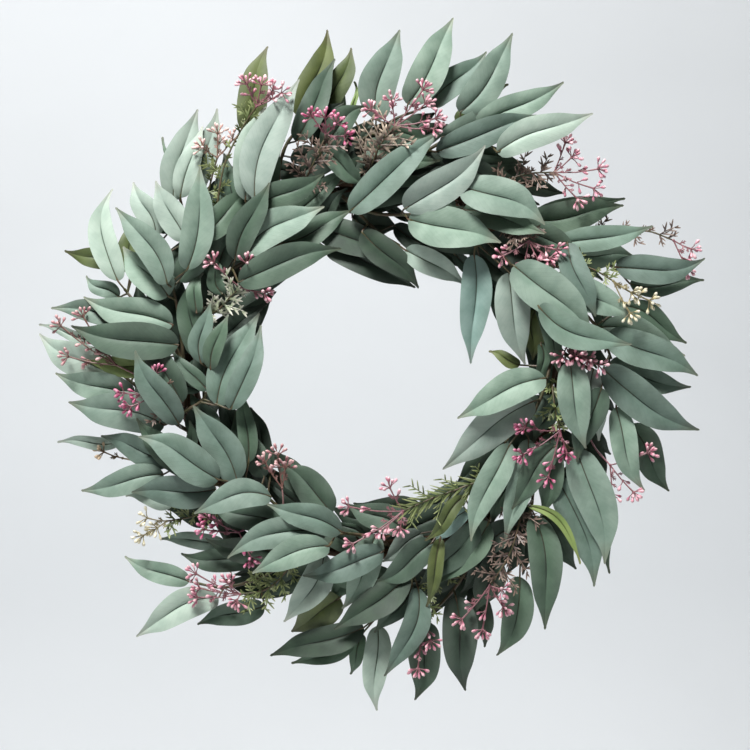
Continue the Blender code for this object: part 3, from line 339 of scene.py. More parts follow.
def berryFoamDipped(finish):
    # Foam berries dipped in tinted latex: softly glossy, deeper at the stalk and pale at the tip, the pale
    # tip partly the coat's own colour and partly a painted highlight, with a slightly uneven coat.
    root, body, tip, _ = [hexColour(code) for code in berryColours[finish]]
    made, tree, shader, share, tint = newMaterial("foamBerryDipped" + finish.capitalize(), "share", "tint")
    bodyShare = addNode(tree, "MapRange", {0: share, 1: 0.05, 2: 0.5})
    colour = addNode(tree, "Mix", {0: bodyShare, 6: root, 7: body}, 2, data_type="RGBA")
    # the pale tip: partly the coat's own colour, partly a painted highlight
    tipAndHighlightShare = addNode(tree, "MapRange", {0: share, 1: 0.5, 2: 1.0, 3: 0.0, 4: 0.8})
    palerShare = addNode(tree, "MapRange", {0: tint, 1: 0.6, 2: 1.0, 3: 0.0, 4: 0.55})
    paleShare = addNode(tree, "Math", {0: tipAndHighlightShare, 1: palerShare}, operation="MAXIMUM")
    colour = addNode(tree, "Mix", {0: paleShare, 6: colour, 7: tip}, 2, data_type="RGBA")
    where = addNode(tree, "TexCoord", {}, "Object")
    coat = addNode(tree, "TexNoise", {"Vector": where, "Scale": 420.0, "Detail": 2.0})
    lightness = addNode(tree, "MapRange", {0: tint, 3: 0.80, 4: 1.15})
    coatValue = addNode(tree, "MapRange", {0: coat, 3: 0.88, 4: 1.10})
    value = addNode(tree, "Math", {0: lightness, 1: coatValue}, operation="MULTIPLY")
    surface = {
        "Base Color": addNode(tree, "HueSaturation", {"Value": value, "Color": colour}),
        "Roughness": addNode(tree, "MapRange", {0: coat, 3: 0.30, 4: 0.46}),
        "Normal": addNode(tree, "Bump", {"Height": coat, "Strength": 0.3, "Distance": 0.0003}),
        "IOR": 1.5,
    }
    setInputs(tree, shader, surface)
    return made


def stalkMoulded(finish):
    # Thin moulded polyethene stalks, tinted like their berries and mottled with twig brown.
    made, tree, shader, along, tint = newMaterial("polyetheneStalk" + finish.capitalize(), "along", "tint")
    place = addNode(tree, "CombineXYZ", {0: along, 1: tint})
    patches = addNode(tree, "TexNoise", {"Vector": place, "Scale": 0.25, "Detail": 3.0})
    layers = {0: patches, 6: hexColour(berryColours[finish][-1]), 7: hexColour(twigBrown)}
    surface = {
        "Base Color": addNode(tree, "Mix", layers, 2, data_type="RGBA"),
        "Roughness": addNode(tree, "MapRange", {0: patches, 3: 0.42, 4: 0.6}),
    }
    setInputs(tree, shader, surface)
    return made


# a needle's root and tip
needleColours = {
    "olive": ("#55633A", "#9AA36C"),
    "brown": ("#4A3A34", "#968172"),
    "straw": ("#54423A", "#CDBCA6"),
    "pale": ("#8E9A78", "#DEDACB"),
    "pink": ("#8A5C66", "#C58D98"),
    "rose": ("#7A5654", "#B18A86"),
    "magenta": ("#6E3B50", "#A8607C"),
    "beige": ("#6E5C46", "#A8957A"),
}


def needleMoulded(finish):
    # Polyethene moulded flat in a two-part mould, dusted paler at the tips: a dull wax gloss.
    root, tip = [hexColour(code) for code in needleColours[finish]]
    name = "polyetheneNeedle" + finish.capitalize()
    made, tree, shader, along, share, tint = newMaterial(name, "along", "share", "tint")
    place = addNode(tree, "CombineXYZ", {0: along, 1: tint})
    dust = addNode(tree, "TexNoise", {"Vector": place, "Scale": 0.35, "Detail": 3.0})
    dusted = addNode(tree, "Math", {0: share, 1: dust}, operation="MULTIPLY")
    dustShare = addNode(tree, "MapRange", {0: dusted, 1: 0.05, 2: 0.5})
    colour = addNode(tree, "Mix", {0: dustShare, 6: root, 7: tip}, 2, data_type="RGBA")
    value = addNode(tree, "MapRange", {0: tint, 3: 0.75, 4: 1.2})
    surface = {
        "Base Color": addNode(tree, "HueSaturation", {"Value": value, "Color": colour}),
        "Normal": addNode(tree, "Bump", {"Height": dust, "Strength": 0.3, "Distance": 0.0002}),
        "Roughness": 0.5,
    }
    setInputs(tree, shader, surface)
    return made


makers = {
    "leaf": leafClothPressed,
    "under": lambda tone: leafClothPressed(tone, under=True),
    "stem": polyetheneStemMoulded,
    "vine": grapevineDried,
    "berry": berryFoamDipped,
    "stalk": stalkMoulded,
    "needle": needleMoulded,
}
madeMaterials = {}


def materialFor(kind):
    # a kind is a maker's key, then its tone or finish if it has several
    if kind not in madeMaterials:
        key, *finish = kind.split()
        madeMaterials[kind] = makers[key](*finish)
    return madeMaterials[kind]


# A skin gathers one piece's points, faces and numbers, and becomes one mesh.
skins = {}      # each node's, until everything has found its place


def newSkin():
    return {"points": [], "numbers": [], "faces": [], "kinds": []}


def startPiece(node, name, slot):
    skins[node] = {**newSkin(), "name": name, "slot": slot}
    return skins[node]


def addFaces(skin, faces, kind):
    skin["faces"] += faces
    skin["kinds"] += [kind] * len(faces)


def joinSkin(skin, other):
    first = len(skin["points"])
    skin["faces"] += [tuple(first + i for i in face) for face in other["faces"]]
    for part in ("points", "numbers", "kinds"):
        skin[part] += other[part]


def makePiece(node, skin):
    mesh = bpy.data.meshes.new(skin["name"])
    mesh.from_pydata([toWorld(point) for point in skin["points"]], [], skin["faces"])
    for i, title in enumerate(("along", "across", "share", "tint")):
        layer = mesh.attributes.new(title, "FLOAT", "POINT")
        layer.data.foreach_set("value", [numbers[i] for numbers in skin["numbers"]])
    kinds = list(dict.fromkeys(skin["kinds"]))
    for kind in kinds:
        mesh.materials.append(materialFor(kind))
    mesh.polygons.foreach_set("material_index", [kinds.index(kind) for kind in skin["kinds"]])
    mesh.shade_smooth()
    mesh.set_sharp_from_angle(angle=math.radians(55))
    mesh.validate()
    made = addObject(skin["name"], mesh)
    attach(made, "root")
    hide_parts(node)


def smoothRoute(points, step):
    # points about a step apart on one smooth curve through the given ones
    knots = [2 * points[0] - points[1], *points, 2 * points[-1] - points[-2]]
    made = []
    for before, start, end, after in zip(knots, knots[1:], knots[2:], knots[3:]):
        count = max(1, round((end - start).length / step))
        bend = 2 * before - 5 * start + 4 * end - after
        twist = 3 * start - before - 3 * end + after
        for i in range(count):
            t = i / count
            made.append(0.5 * (2 * start + (end - before) * t + bend * t**2 + twist * t**3))
    return [*made, points[-1]]


def addTube(skin, route, radii, sides, kind, tint, scale=1.0, flat=1.0, closed=False, facing=None):
    # a round or flattened tube along points, with a radius at each
    radii = [scale * radius for radius in radii]
    first = len(skin["points"])
    count = len(route)
    travelled = 0.0
    side = facing or -backwards
    for i, centre in enumerate(route):
        before = route[i - 1] if i or closed else route[0]
        after = route[(i + 1) % count] if closed else route[min(i + 1, count - 1)]
        ahead = (after - before).normalized()
        if i == 0 and abs(ahead.dot(side)) > 0.95:
            side = sideways
        side = (side - ahead * side.dot(ahead)).normalized()
        other = ahead.cross(side)
        travelled += (centre - route[i - 1]).length if i else 0.0
        for j in range(sides):
            turn = fullTurn * j / sides
            skin["points"].append(centre + radii[i] * (math.cos(turn) * flat * side + math.sin(turn) * other))
            skin["numbers"].append((travelled, turn * max(radii), i / (count - 1), tint))
    faces = []
    for i in range(count if closed else count - 1):
        here = first + i * sides
        after = first + (i + 1) % count * sides
        for j in range(sides):
            k = (j + 1) % sides
            faces.append((here + j, here + k, after + k, after + j))
    if not closed:
        end = first + (count - 1) * sides
        faces += [tuple(range(first + sides - 1, first - 1, -1)), tuple(range(end, end + sides))]
    addFaces(skin, faces, kind)


# Each leaf and umbel was bent clear of its neighbours in the CAD by moving it out or in, so its depth is read
# back from the frame.


def cadPoints(node):
    points = [toFace(vert.co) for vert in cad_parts[node].data.vertices]
    tree = KDTree(len(points))
    for i, point in enumerate(points):
        tree.insert((point.x, 0, point.z), i)
    tree.balance()
    return points, tree


def cadDepth(cad, x, z):
    # how far forward the frame's point at that place is, or nothing where it has none
    points, tree = cad
    _, i, gap = tree.find((x, 0, z))
    return -points[i].y if gap < 1 else None


# The ring: three canes wound round each other

vineRing = {
    "canes": 3,
    "wobble": 1.5,
    "caneRadius": 6.0,
    "offset": 8,        # from the ring's core to each cane's middle
    "turns": 5,
    "points": 260,
    "sides": 14,
    "knots": 11,
    "roughness": 0.5,
}


def canePoint(number, around):
    wind = vineRing["turns"] * around + fullTurn * number / vineRing["canes"]
    wobble = vineRing["wobble"] * math.sin(3 * around + 1)
    radius = wreath["ringRadius"] + wobble + vineRing["offset"] * math.cos(wind)
    depth = wreath["ringDepth"] + vineRing["offset"] * math.sin(wind)
    return facePoint(radius * math.sin(around), radius * math.cos(around), depth)


def buildRing():
    turns = [fullTurn * i / vineRing["points"] for i in range(vineRing["points"])]
    for number in range(vineRing["canes"]):
        route = [canePoint(number, turn) for turn in turns]
        knots = [max(0.0, math.cos(turn * vineRing["knots"] + number * 2.1)) ** 14 for turn in turns]
        radii = [vineRing["caneRadius"] * (0.93 + 0.07 * knot) for knot in knots]
        skin = startPiece(f"RingCane{number + 1}", f"VineCane{number + 1}", "cane")
        addTube(skin, route, radii, vineRing["sides"], "vine", 0.5, closed=True)
        for i, spot in enumerate(skin["points"]):
            away = (spot - route[i // vineRing["sides"]]).normalized()
            rough = noise.noise(Vector((spot.x * 0.11, spot.y * 0.6, spot.z * 0.11)) + sideways * number * 9)
            skin["points"][i] = spot + away * (vineRing["roughness"] * rough - 0.1)
    print("ring built")


buildRing()


# Sprays: each stem is its route (x, z, d) from the ring outwards, then its leaves (base x, base z, tip x,
# tip z, width, sideways bow to its left, base d, tip d, tone).

# each leaf's tone is partly its own and partly painted light and shade, set for where it lies
sprays = {
    "SprayLeftLow": [(
        [(-173, -76, 34), (-198, -56, 41), (-226, -28, 42), (-250, -8, 40), (-264, 8, 38)],
        [(-205, -60, -302, -37, 40, -4, 50, 44, "sage"), (-235, -30, -316, -8, 30, 2, 44, 34, "sage"),
         (-255, -12, -334, 32, 36, 4, 34, 26, "pale"), (-272, 26, -335, 41, 12, 2, 30, 22, "pale")],
    ), (
        [(-198, -55, 41), (-184, -46, 50), (-166, -34, 54), (-158, -14, 54), (-162, 2, 52)],
        [(-152, -40, -110, 52, 34, 6, 62, 52, "muted"), (-138, -44, -108, 40, 26, -4, 70, 62, "muted"),
         (-168, 2, -158, 62, 22, 4, 58, 62, "muted"), (-158, -4, -140, 50, 20, 3, 64, 68, "dark"),
         (-172, 8, -178, 84, 28, 4, 46, 46, "dark")],
    )],
    "SprayLeft": [(
        [(-183, -24, 32), (-188, 0, 44), (-197, 24, 50), (-212, 44, 52), (-234, 62, 46), (-246, 76, 40)],
        [(-205, 8, -285, 5, 24, 8, 52, 46, "fresh"), (-190, 20, -297, 39, 38, 5, 62, 60, "dark"),
         (-196, 40, -286, 68, 34, 2, 56, 50, "sage"), (-230, 50, -320, 57, 26, 0, 48, 40, "sage"),
         (-252, 68, -286, 90, 18, 2, 36, 30, "sage"), (-252, 84, -258, 177, 29, 13, 46, 38, "pale"),
         (-238, 92, -244, 147, 26, 2, 30, 20, "olive"), (-240, 105, -310, 116, 24, 2, 24, 16, "olive")],
    ), (
        [(-186, -10, 40), (-187, 14, 46), (-190, 44, 52), (-196, 76, 56), (-206, 104, 52), (-214, 124, 44)],
        [(-200, 68, -246, 118, 36, 0, 62, 54, "sage"), (-200, 80, -252, 156, 31, -7, 72, 66, "sage"),
         (-214, 128, -238, 184, 28, -2, 44, 34, "pale"), (-182, 124, -214, 184, 30, 2, 52, 40, "pale"),
         (-181, 94, -168, 197, 32, -6, 68, 70, "sage"), (-203, 132, -219, 167, 15, 0, 38, 30, "dark")],
    )],
    "SprayTopLeft": [(
        [(-168, 76, 30), (-177, 104, 32), (-185, 134, 30), (-188, 158, 28)],
        [(-198, 166, -174, 259, 32, 4, 32, 22, "pale"), (-190, 168, -168, 240, 24, 1, 40, 36, "pale"),
         (-177, 171, -154, 259, 28, 0, 34, 28, "pale"), (-197, 182, -211, 232, 6, -2, 22, 12, "dark")],
    )],
    "SprayTopLeftFront": [(
        [(-142, 116, 34), (-136, 136, 44), (-124, 154, 50), (-114, 163, 52)],
        [(-124, 164, -104, 258, 30, 6, 56, 50, "pale"), (-114, 164, -70, 284, 38, 10, 66, 60, "pale"),
         (-123, 133, -119, 160, 14, 0, 62, 62, "sage"), (-136, 138, -146, 212, 26, -2, 42, 36, "dark"),
         (-108, 158, -92, 224, 28, 3, 44, 42, "dark")],
    ), (
        [(-137, 134, 42), (-144, 170, 30), (-136, 204, 24), (-124, 228, 24)],
        [(-124, 234, -103, 322, 31, 3, 30, 26, "olive")],
    )],
    "SprayTopOuter": [(
        [(-90, 160, 32), (-92, 192, 34), (-84, 222, 32), (-66, 244, 28), (-52, 252, 26)],
        [(-74, 224, -35, 307, 28, -1, 44, 42, "dark"), (-72, 250, -43, 338, 30, -5, 36, 30, "olive"),
         (-44, 256, -19, 321, 26, -2, 28, 22, "olive"), (-45, 240, -28, 290, 24, -2, 22, 14, "pale")],
    ), (
        [(-92, 184, 34), (-60, 192, 39), (-30, 208, 38), (0, 232, 34), (30, 250, 30), (46, 256, 28)],
        [(-15, 246, -16, 287, 6, 0, 26, 22, "fresh"), (6, 246, 30, 337, 38, 6, 40, 36, "sage"),
         (38, 262, 84, 350, 36, -3, 34, 30, "sage"), (60, 262, 118, 317, 30, 0, 28, 22, "muted")],
    )],
    "SprayTopLeftInner": [(
        [(-158, 82, 38), (-138, 96, 46), (-112, 110, 50), (-82, 124, 46), (-60, 132, 42)],
        [(-124, 112, -45, 157, 36, 7, 60, 64, "sage"), (-130, 82, -28, 115, 34, 5, 66, 66, "dark"),
         (-55, 140, 30, 100, 34, 4, 46, 36, "deep"), (-44, 118, 46, 78, 30, 3, 38, 28, "deep"),
         (-152, 96, -124, 152, 26, 2, 44, 42, "dark")],
    )],
    "SprayTopRight": [(
        [(16, 186, 34), (42, 204, 40), (66, 220, 42), (92, 234, 40), (112, 240, 36)],
        [(90, 252, 143, 333, 34, -6, 46, 40, "sage"), (86, 245, 140, 284, 22, 0, 32, 24, "olive"),
         (106, 240, 194, 283, 28, -3, 50, 46, "sage"), (72, 228, 150, 257, 24, 2, 44, 40, "sage"),
         (66, 212, 172, 248, 30, 2, 56, 56, "muted"), (126, 211, 222, 250, 32, 3, 62, 58, "pale")],
    )],
    "SprayTopInner": [(
        [(-38, 174, 38), (-14, 158, 48), (14, 150, 52), (40, 150, 54), (72, 160, 54), (90, 170, 54)],
        [(-20, 152, 72, 232, 34, 2, 62, 64, "muted"), (34, 154, 114, 217, 36, -7, 70, 72, "pale"),
         (38, 144, 130, 121, 42, 2, 68, 66, "sage"), (90, 176, 173, 138, 40, 8, 70, 72, "sage")],
    ), (
        [(-16, 159, 47), (-2, 142, 44), (16, 128, 40), (30, 120, 38)],
        [(-8, 132, 49, 77, 30, 2, 46, 36, "deep"), (35, 115, 96, 80, 26, 2, 46, 40, "pale")],
    )],
    "SprayRightTopInner": [(
        [(84, 158, 40), (98, 136, 48), (108, 118, 48)],
        [(104, 110, 101, 1, 32, 2, 48, 40, "blue"), (138, 92, 155, 0, 36, -4, 58, 50, "pale")],
    ), (
        [(94, 142, 45), (118, 122, 50), (140, 100, 54), (156, 76, 58), (164, 62, 60)],
        [(142, 98, 220, 27, 44, 4, 72, 76, "sage"), (166, 57, 258, 20, 31, -11, 82, 78, "muted"),
         (166, 56, 163, 5, 26, -3, 50, 40, "olive"), (186, 85, 262, 46, 34, 0, 60, 62, "sage")],
    )],
    "SprayRightTopOuter": [(
        [(118, 146, 28), (148, 150, 26), (178, 138, 28), (208, 120, 30), (236, 104, 32), (254, 92, 30)],
        [(166, 152, 259, 169, 18, 1, 24, 16, "dark"), (160, 146, 256, 161, 34, -3, 34, 28, "dark"),
         (176, 138, 218, 136, 20, 0, 20, 14, "deep"), (186, 121, 283, 139, 26, -3, 46, 46, "muted"),
         (200, 112, 268, 108, 27, 0, 38, 32, "sage"), (246, 98, 336, 107, 30, -8, 44, 40, "muted"),
         (262, 82, 338, 86, 22, -3, 28, 22, "dark")],
    )],
    "SprayRightOuter": [(
        [(164, 80, 40), (190, 68, 46), (216, 50, 44), (234, 28, 40), (242, 6, 38)],
        [(256, 60, 320, 22, 24, 3, 30, 24, "dark"), (232, 38, 317, 9, 30, 6, 38, 34, "sage"),
         (236, 30, 328, -11, 36, 2, 50, 46, "muted"), (240, 2, 323, -22, 28, -5, 40, 34, "sage"),
         (232, -4, 329, -65, 38, -8, 56, 50, "muted")],
    )],
    "SprayRight": [(
        [(184, 34, 36), (194, 12, 46), (212, 0, 50), (232, -14, 46), (248, -34, 38), (256, -52, 32)],
        [(198, 4, 214, -83, 34, -4, 68, 64, "sage"), (222, -4, 228, -76, 24, -3, 58, 52, "pale"),
         (246, -42, 275, -126, 28, -6, 46, 42, "sage"), (262, -60, 303, -128, 32, 0, 26, 18, "dark")],
    ), (
        [(189, 24, 41), (180, 0, 48), (174, -22, 52), (164, -46, 54), (150, -66, 52)],
        [(150, 0, 119, 14, 14, 0, 44, 38, "olive"), (173, -13, 86, -53, 34, -5, 74, 70, "sage"),
         (162, -36, 72, -104, 38, -4, 64, 58, "pale"), (139, -78, 100, -175, 30, -5, 64, 64, "sage"),
         (158, -74, 134, -176, 28, 2, 56, 54, "sage")],
    )],
    "SprayLowRight": [(
        [(176, -46, 36), (190, -72, 42), (206, -92, 42), (218, -110, 38)],
        [(205, -84, 233, -198, 40, 7, 54, 50, "sage"), (186, -112, 224, -222, 36, 8, 50, 46, "muted"),
         (226, -118, 242, -211, 17, 2, 28, 24, "dark")],
    ), (
        [(186, -64, 40), (174, -90, 45), (165, -116, 44), (162, -140, 42), (156, -170, 38),
         (150, -198, 34)],
        [(157, -140, 209, -198, 10, 13, 60, 60, "fresh"), (174, -150, 208, -206, 26, 0, 34, 28, "deep"),
         (164, -150, 175, -265, 34, 6, 50, 44, "dark"), (150, -212, 127, -292, 32, 8, 42, 36, "dark")],
    )],
    "SprayBottomRight": [(
        [(130, -134, 32), (118, -166, 36), (102, -198, 34), (84, -226, 32), (64, -248, 30)],
        [(106, -222, 116, -286, 24, 2, 24, 18, "deep"), (86, -232, 96, -328, 36, -1, 38, 32, "deep"),
         (58, -258, 45, -338, 34, 3, 34, 28, "dark")],
    ), (
        [(119, -164, 36), (113, -152, 47), (98, -145, 52), (78, -156, 52), (66, -168, 50)],
        [(93, -130, 54, -174, 16, 1, 66, 66, "olive"), (97, -144, 63, -176, 20, -2, 60, 56, "blue"),
         (62, -176, 4, -215, 30, 4, 60, 60, "dark"), (70, -172, 56, -241, 16, 1, 60, 56, "olive"),
         (52, -168, 12, -197, 24, -1, 48, 42, "pale")],
    )],
    "SprayBottom": [(
        [(76, -168, 34), (62, -192, 42), (46, -208, 44), (28, -230, 40), (6, -254, 32)],
        [(38, -208, -36, -263, 32, 3, 60, 58, "deep"), (42, -220, 4, -268, 21, 3, 48, 44, "dark"),
         (48, -222, 14, -311, 28, 10, 54, 48, "muted"), (8, -262, 7, -348, 28, -2, 36, 32, "pale"),
         (-8, -272, -20, -314, 16, 0, 20, 14, "dark"), (-6, -262, -101, -293, 30, 0, 34, 28, "deep"),
         (-16, -280, -80, -302, 18, 3, 24, 18, "dark")],
    )],
    "SprayBottomInner": [(
        [(22, -182, 38), (2, -172, 48), (-20, -168, 54), (-38, -168, 56)],
        [(6, -168, -28, -243, 32, 4, 62, 56, "sage"), (-42, -162, -141, -191, 32, -11, 72, 72, "sage"),
         (-40, -178, -116, -205, 30, -6, 80, 80, "sage"), (-46, -186, -86, -256, 32, 8, 58, 54, "pale"),
         (-38, -148, -90, -98, 34, -4, 48, 38, "dark"), (-30, -232, -80, -270, 36, 0, 26, 18, "olive")],
    )],
    "SprayBottomLeftInner": [(
        [(-64, -170, 38), (-84, -150, 46), (-100, -134, 50), (-118, -122, 50), (-134, -116, 48)],
        [(-98, -130, -174, -147, 30, -9, 70, 70, "sage"), (-132, -116, -176, -40, 36, -4, 56, 52, "muted"),
         (-106, -112, -135, -45, 28, 3, 42, 34, "dark"), (-150, -114, -230, -71, 37, -5, 62, 60, "muted")],
    )],
    "SprayBottomLeft": [(
        [(-58, -180, 32), (-90, -202, 34), (-122, -218, 34), (-152, -224, 30), (-174, -220, 28)],
        [(-118, -198, -191, -190, 26, 2, 32, 26, "dark"), (-106, -242, -174, -261, 26, -2, 36, 32, "dark"),
         (-152, -233, -235, -273, 32, -8, 42, 36, "pale"), (-182, -218, -248, -193, 22, 2, 30, 24, "sage"),
         (-146, -180, -213, -176, 18, -2, 26, 20, "sage")],
    )],
    "SprayLeftLowOuter": [(
        [(-142, -124, 32), (-166, -118, 36), (-190, -108, 36), (-212, -98, 34), (-236, -84, 30)],
        [(-154, -124, -238, -127, 34, 0, 52, 48, "muted"), (-196, -135, -246, -132, 26, -4, 38, 32, "pale"),
         (-206, -109, -290, -126, 28, 0, 44, 38, "sage"), (-198, -96, -270, -71, 28, 0, 46, 40, "muted"),
         (-252, -78, -317, -78, 14, 0, 26, 18, "pale")],
    )],
}
stem = {
    "radius": 2.2,
    "forkRadius": 1.8,
    "tipRadius": 1.4,
    "cadStep": 19,      # the CAD's stems have a point about this often
    "step": 4,
    "sides": 9,
}
leafShape = {
    "stations": 26,
    "thickness": 0.5,
    "tipRound": 1.25,
    "peak": 2.49,       # makes the widest place as wide as the table says
    "arch": 5,
    "puff": 0.06,       # how far each half bulges out, as a share of its width
    "ruffle": 1.0,      # mm, along the edges
    "sway": 2.6,        # mm to either side, which hooks the tip
    "twist": 0.35,
    "groove": 0.8,      # mm deep along the rib
    "grooveWidth": 0.7,
    "ribEnd": 0.68,
    "stalkRadii": (1.25, 1.0, 1.0),
    "stalkBack": 5.0,   # how far behind the leaf's own place its stalk leaves the stem
    "bent": (-13, 29),  # how far back or forward the CAD moved a leaf, at most
}
ruleLeaf = {
    # share of the stem, turn from its heading round the ring, length, width, base d, tip d
    "rows": ((0.15, 80, 84, 30, 42, 42), (0.6, 104, 78, 28, 44, 40)),
    "backRow": (0.35, 36, 72, 26, 17, 9),
    "stalk": 9,
    "bow": 3,
    "start": 232,       # from the ring's middle: the furthest base, then the nearest and furthest tip
    "hole": 138,
    "reach": 268,
    "behind": 20,
}
stemRoutes = {}     # each spray's stems as points
placed = []         # what an added leaf, needle or berry has to keep clear of
covered = set()     # the cells of the face that leaves hide


def rooted(route):
    x, z, _ = route[0]
    inwards = wreath["ringRadius"] / math.hypot(x, z)
    return [(x * inwards, z * inwards, wreath["ringDepth"]), *route[1:]]


def ruleLeaves(route, first):
    # the leaves that a stem has by rule, where they stay off the hole and the outer edge
    points = smoothRoute([facePoint(*spot) for spot in route], stem["cadStep"])
    rows = (*ruleLeaf["rows"], ruleLeaf["backRow"]) if first else ruleLeaf["rows"]
    made = []
    for share, turn, length, width, *depths in rows:
        at = points[round(share * (len(points) - 1))]
        heading = math.atan2(at.x, at.z) + math.radians(turn)
        ahead = Vector((math.sin(heading), math.cos(heading)))
        base = Vector((at.x, at.z)) + ruleLeaf["stalk"] * ahead
        tip = base + length * ahead
        if ruleLeaf["hole"] < tip.length < ruleLeaf["reach"] and base.length < ruleLeaf["start"]:
            bow = ruleLeaf["bow"] if turn < 90 else -ruleLeaf["bow"]
            made.append((*base, *tip, width, bow, *depths, None))
    return made


def toneAt(depths):
    # painted shade: the further in a leaf lies, the darker the tone it is given, for the shade that falls
    # deep in the wreath
    depth = sum(depths) / 2
    return "deep" if depth < 43 else "dark" if depth < 64 else "muted"


def character(row):
    # how a leaf arches out, rolls about its rib and folds along it
    turn = 0.37 * row[0] + 0.71 * row[1] + 0.53 * row[3]
    arch = leafShape["arch"] + 3.0 * math.sin(turn)
    return arch, 0.20 * math.sin(1.7 * turn + 1.0), 0.20 + 0.06 * math.sin(2.3 * turn + 2.0)


def halfWidth(width, t):
    return 0.5 * width * leafShape["peak"] * math.sqrt(max(t, 0.0)) * max(1 - t, 0.0) ** 0.9


def shownHalf(width, t):
    # a rounder base and a longer, hollow tip than the CAD's straight-edged blade
    narrow = min(1.0, max(0.0, (t - 0.68) / 0.24))
    rounder = 1 + 0.14 * max(0.0, 1 - t / 0.16)
    return halfWidth(width, t) * rounder * (1 - 0.34 * narrow * narrow * (3 - 2 * narrow))


def settledDepths(row, cad):
    # the base and tip depths that the CAD's leaf ended up with, or nothing where it has none
    baseX, baseZ, tipX, tipZ, width, bow, baseDepth = row[:7]
    tipNow = cadDepth(cad, tipX, tipZ)
    if tipNow is None:
        return None
    arch, roll, fold = character(row)
    t = 0.62 if baseDepth < ruleLeaf["behind"] else 0.42
    bend = 4 * t * (1 - t)
    half = halfWidth(width, t)
    chord = Vector((tipX - baseX, tipZ - baseZ))
    left = Vector((-chord.y, chord.x)).normalized()
    middle = Vector((baseX, baseZ)) + chord * t + left * bow * bend
    low, high = leafShape["bent"]
    found = []
    for side in (1, -1):
        depth = cadDepth(cad, *(middle + left * half * side))
        if depth is not None:
            now = (depth - tipNow * t - arch * bend - half * (roll * side + fold)) / (1 - t)
            if low <= now - baseDepth <= high:
                found.append(now)
    return (min(found, key=lambda depth: abs(depth - baseDepth)), tipNow) if found else None


def nearestOn(points, spot):
    # the place on a stem nearest a leaf's base, then a little way back towards the stem's start
    found = []
    for i, (start, end) in enumerate(zip(points, points[1:])):
        span = end - start
        share = min(1.0, max(0.0, (spot - start).dot(span) / span.length_squared))
        found.append(((start + span * share - spot).length, i, share))
    _, i, share = min(found)
    span = points[i + 1] - points[i]
    back = share - leafShape["stalkBack"] / span.length
    return points[i] + span * min(max(0.08 if i == 0 else 0.0, back), 0.93)


def addLeaf(skin, row, root, depths, tone, seed, stations):
    rand = random.Random(seed)
    baseX, baseZ, tipX, tipZ, width, bow = row[:6]
    arch, roll, fold = character(row)
    base = facePoint(baseX, baseZ, depths[0])
    rise = facePoint(tipX, tipZ, depths[1]) - base
    left = Vector((-rise.z, 0, rise.x)).normalized()
    length = rise.length
    tint = rand.random()
    ruffleTurn = rand.uniform(0, fullTurn)
    ruffleTimes = rand.uniform(1.2, 2.2)
    sway = leafShape["sway"] * rand.choice((-1, 1)) * rand.uniform(0.3, 1.0)
    twist = leafShape["twist"] * rand.uniform(-1, 1)
    thick = leafShape["thickness"] / 2
    first = len(skin["points"])
    middles = []
    for i in range(stations + 1):
        # stations lie closer together near both ends
        t = 0.5 - 0.5 * math.cos(math.pi * (0.06 + 0.94 * i / stations)) if i < stations else 1.0
        t = 0.35 * i / stations + 0.65 * t if i else 0.003
        bend = 4 * t * (1 - t)
        fromTip = min((1 - t) * length, leafShape["tipRound"])
        blunt = math.sqrt(leafShape["tipRound"] ** 2 - (leafShape["tipRound"] - fromTip) ** 2)
        half = max(shownHalf(width, t), blunt, 0.1)
        middle = base + rise * t + left * (bow * bend + sway * math.sin(fullTurn * t))
        middle.y -= arch * bend
        middles.append(middle)
        ribHere = max(0.0, min(1.0, (leafShape["ribEnd"] - t) / 0.2))
        near = min(leafShape["grooveWidth"], 0.16 * half)
        laterals = [half, *(half * s for s in (0.88, 0.68, 0.46, 0.26)), near * 1.6, near * 0.6]
        spots = [*laterals, 0.0, *(-s for s in reversed(laterals))]
        for top in (True, False):
            for spot in spots:
                u = spot / half
                puff = leafShape["puff"] * half * math.sin(math.pi * min(1.0, abs(u))) * min(1.0, 3 * bend)
                wave = leafShape["ruffle"] * u * u * bend
                wave *= math.sin(ruffleTimes * fullTurn * t + ruffleTurn + (1.7 if u > 0 else 0.0))
                depth = half * ((roll + twist * (t - 0.4)) * u + fold * abs(u)) + puff + wave
                sink = ribHere * leafShape["groove"] * math.exp(-((spot / leafShape["grooveWidth"]) ** 2))
                if top:
                    depth += thick - sink
                else:
                    depth -= thick * (1 + ribHere * math.exp(-((spot / 0.8) ** 2))) + sink * 0.6
                skin["points"].append(middle + left * spot - backwards * depth)
                skin["numbers"].append((t * length, spot, t, tint))
    columns = len(spots)
    rim = columns - 1
    tops, unders = [], []
    for i in range(stations):
        here = first + i * 2 * columns
        after = here + 2 * columns
        for j in range(rim):
            k = columns + j
            tops.append((here + j, after + j, after + j + 1, here + j + 1))
            unders.append((here + k + 1, after + k + 1, after + k, here + k))
        unders.append((here, here + columns, after + columns, after))
        unders.append((after + rim, after + columns + rim, here + columns + rim, here + rim))
    addFaces(skin, tops, "leaf " + tone)
    addFaces(skin, unders, "under " + tone)
    if root is None:
        return
    # the stalk runs on behind the blade as its rib
    stalk = [root, root.lerp(base, 0.5) - backwards * 0.8, base.copy()]
    radii = [*leafShape["stalkRadii"]]
    last = round(stations * 0.5)
    for i in range(2, last, 2):
        stalk.append(middles[i] + backwards * (0.55 + 0.5 * leafShape["groove"]))
        radii.append(0.95 - 0.55 * (i / last))
    addTube(skin, smoothTube(stalk), spreadRadii(radii), 6, "stem", tint)


def smoothTube(points):
    # the same points with one more between each two, eased
    made = []
    for i, (start, end) in enumerate(zip(points, points[1:])):
        before = points[max(i - 1, 0)]
        after = points[min(i + 2, len(points) - 1)]
        made += [start, (9 * (start + end) - before - after) / 16]
    return [*made, points[-1]]


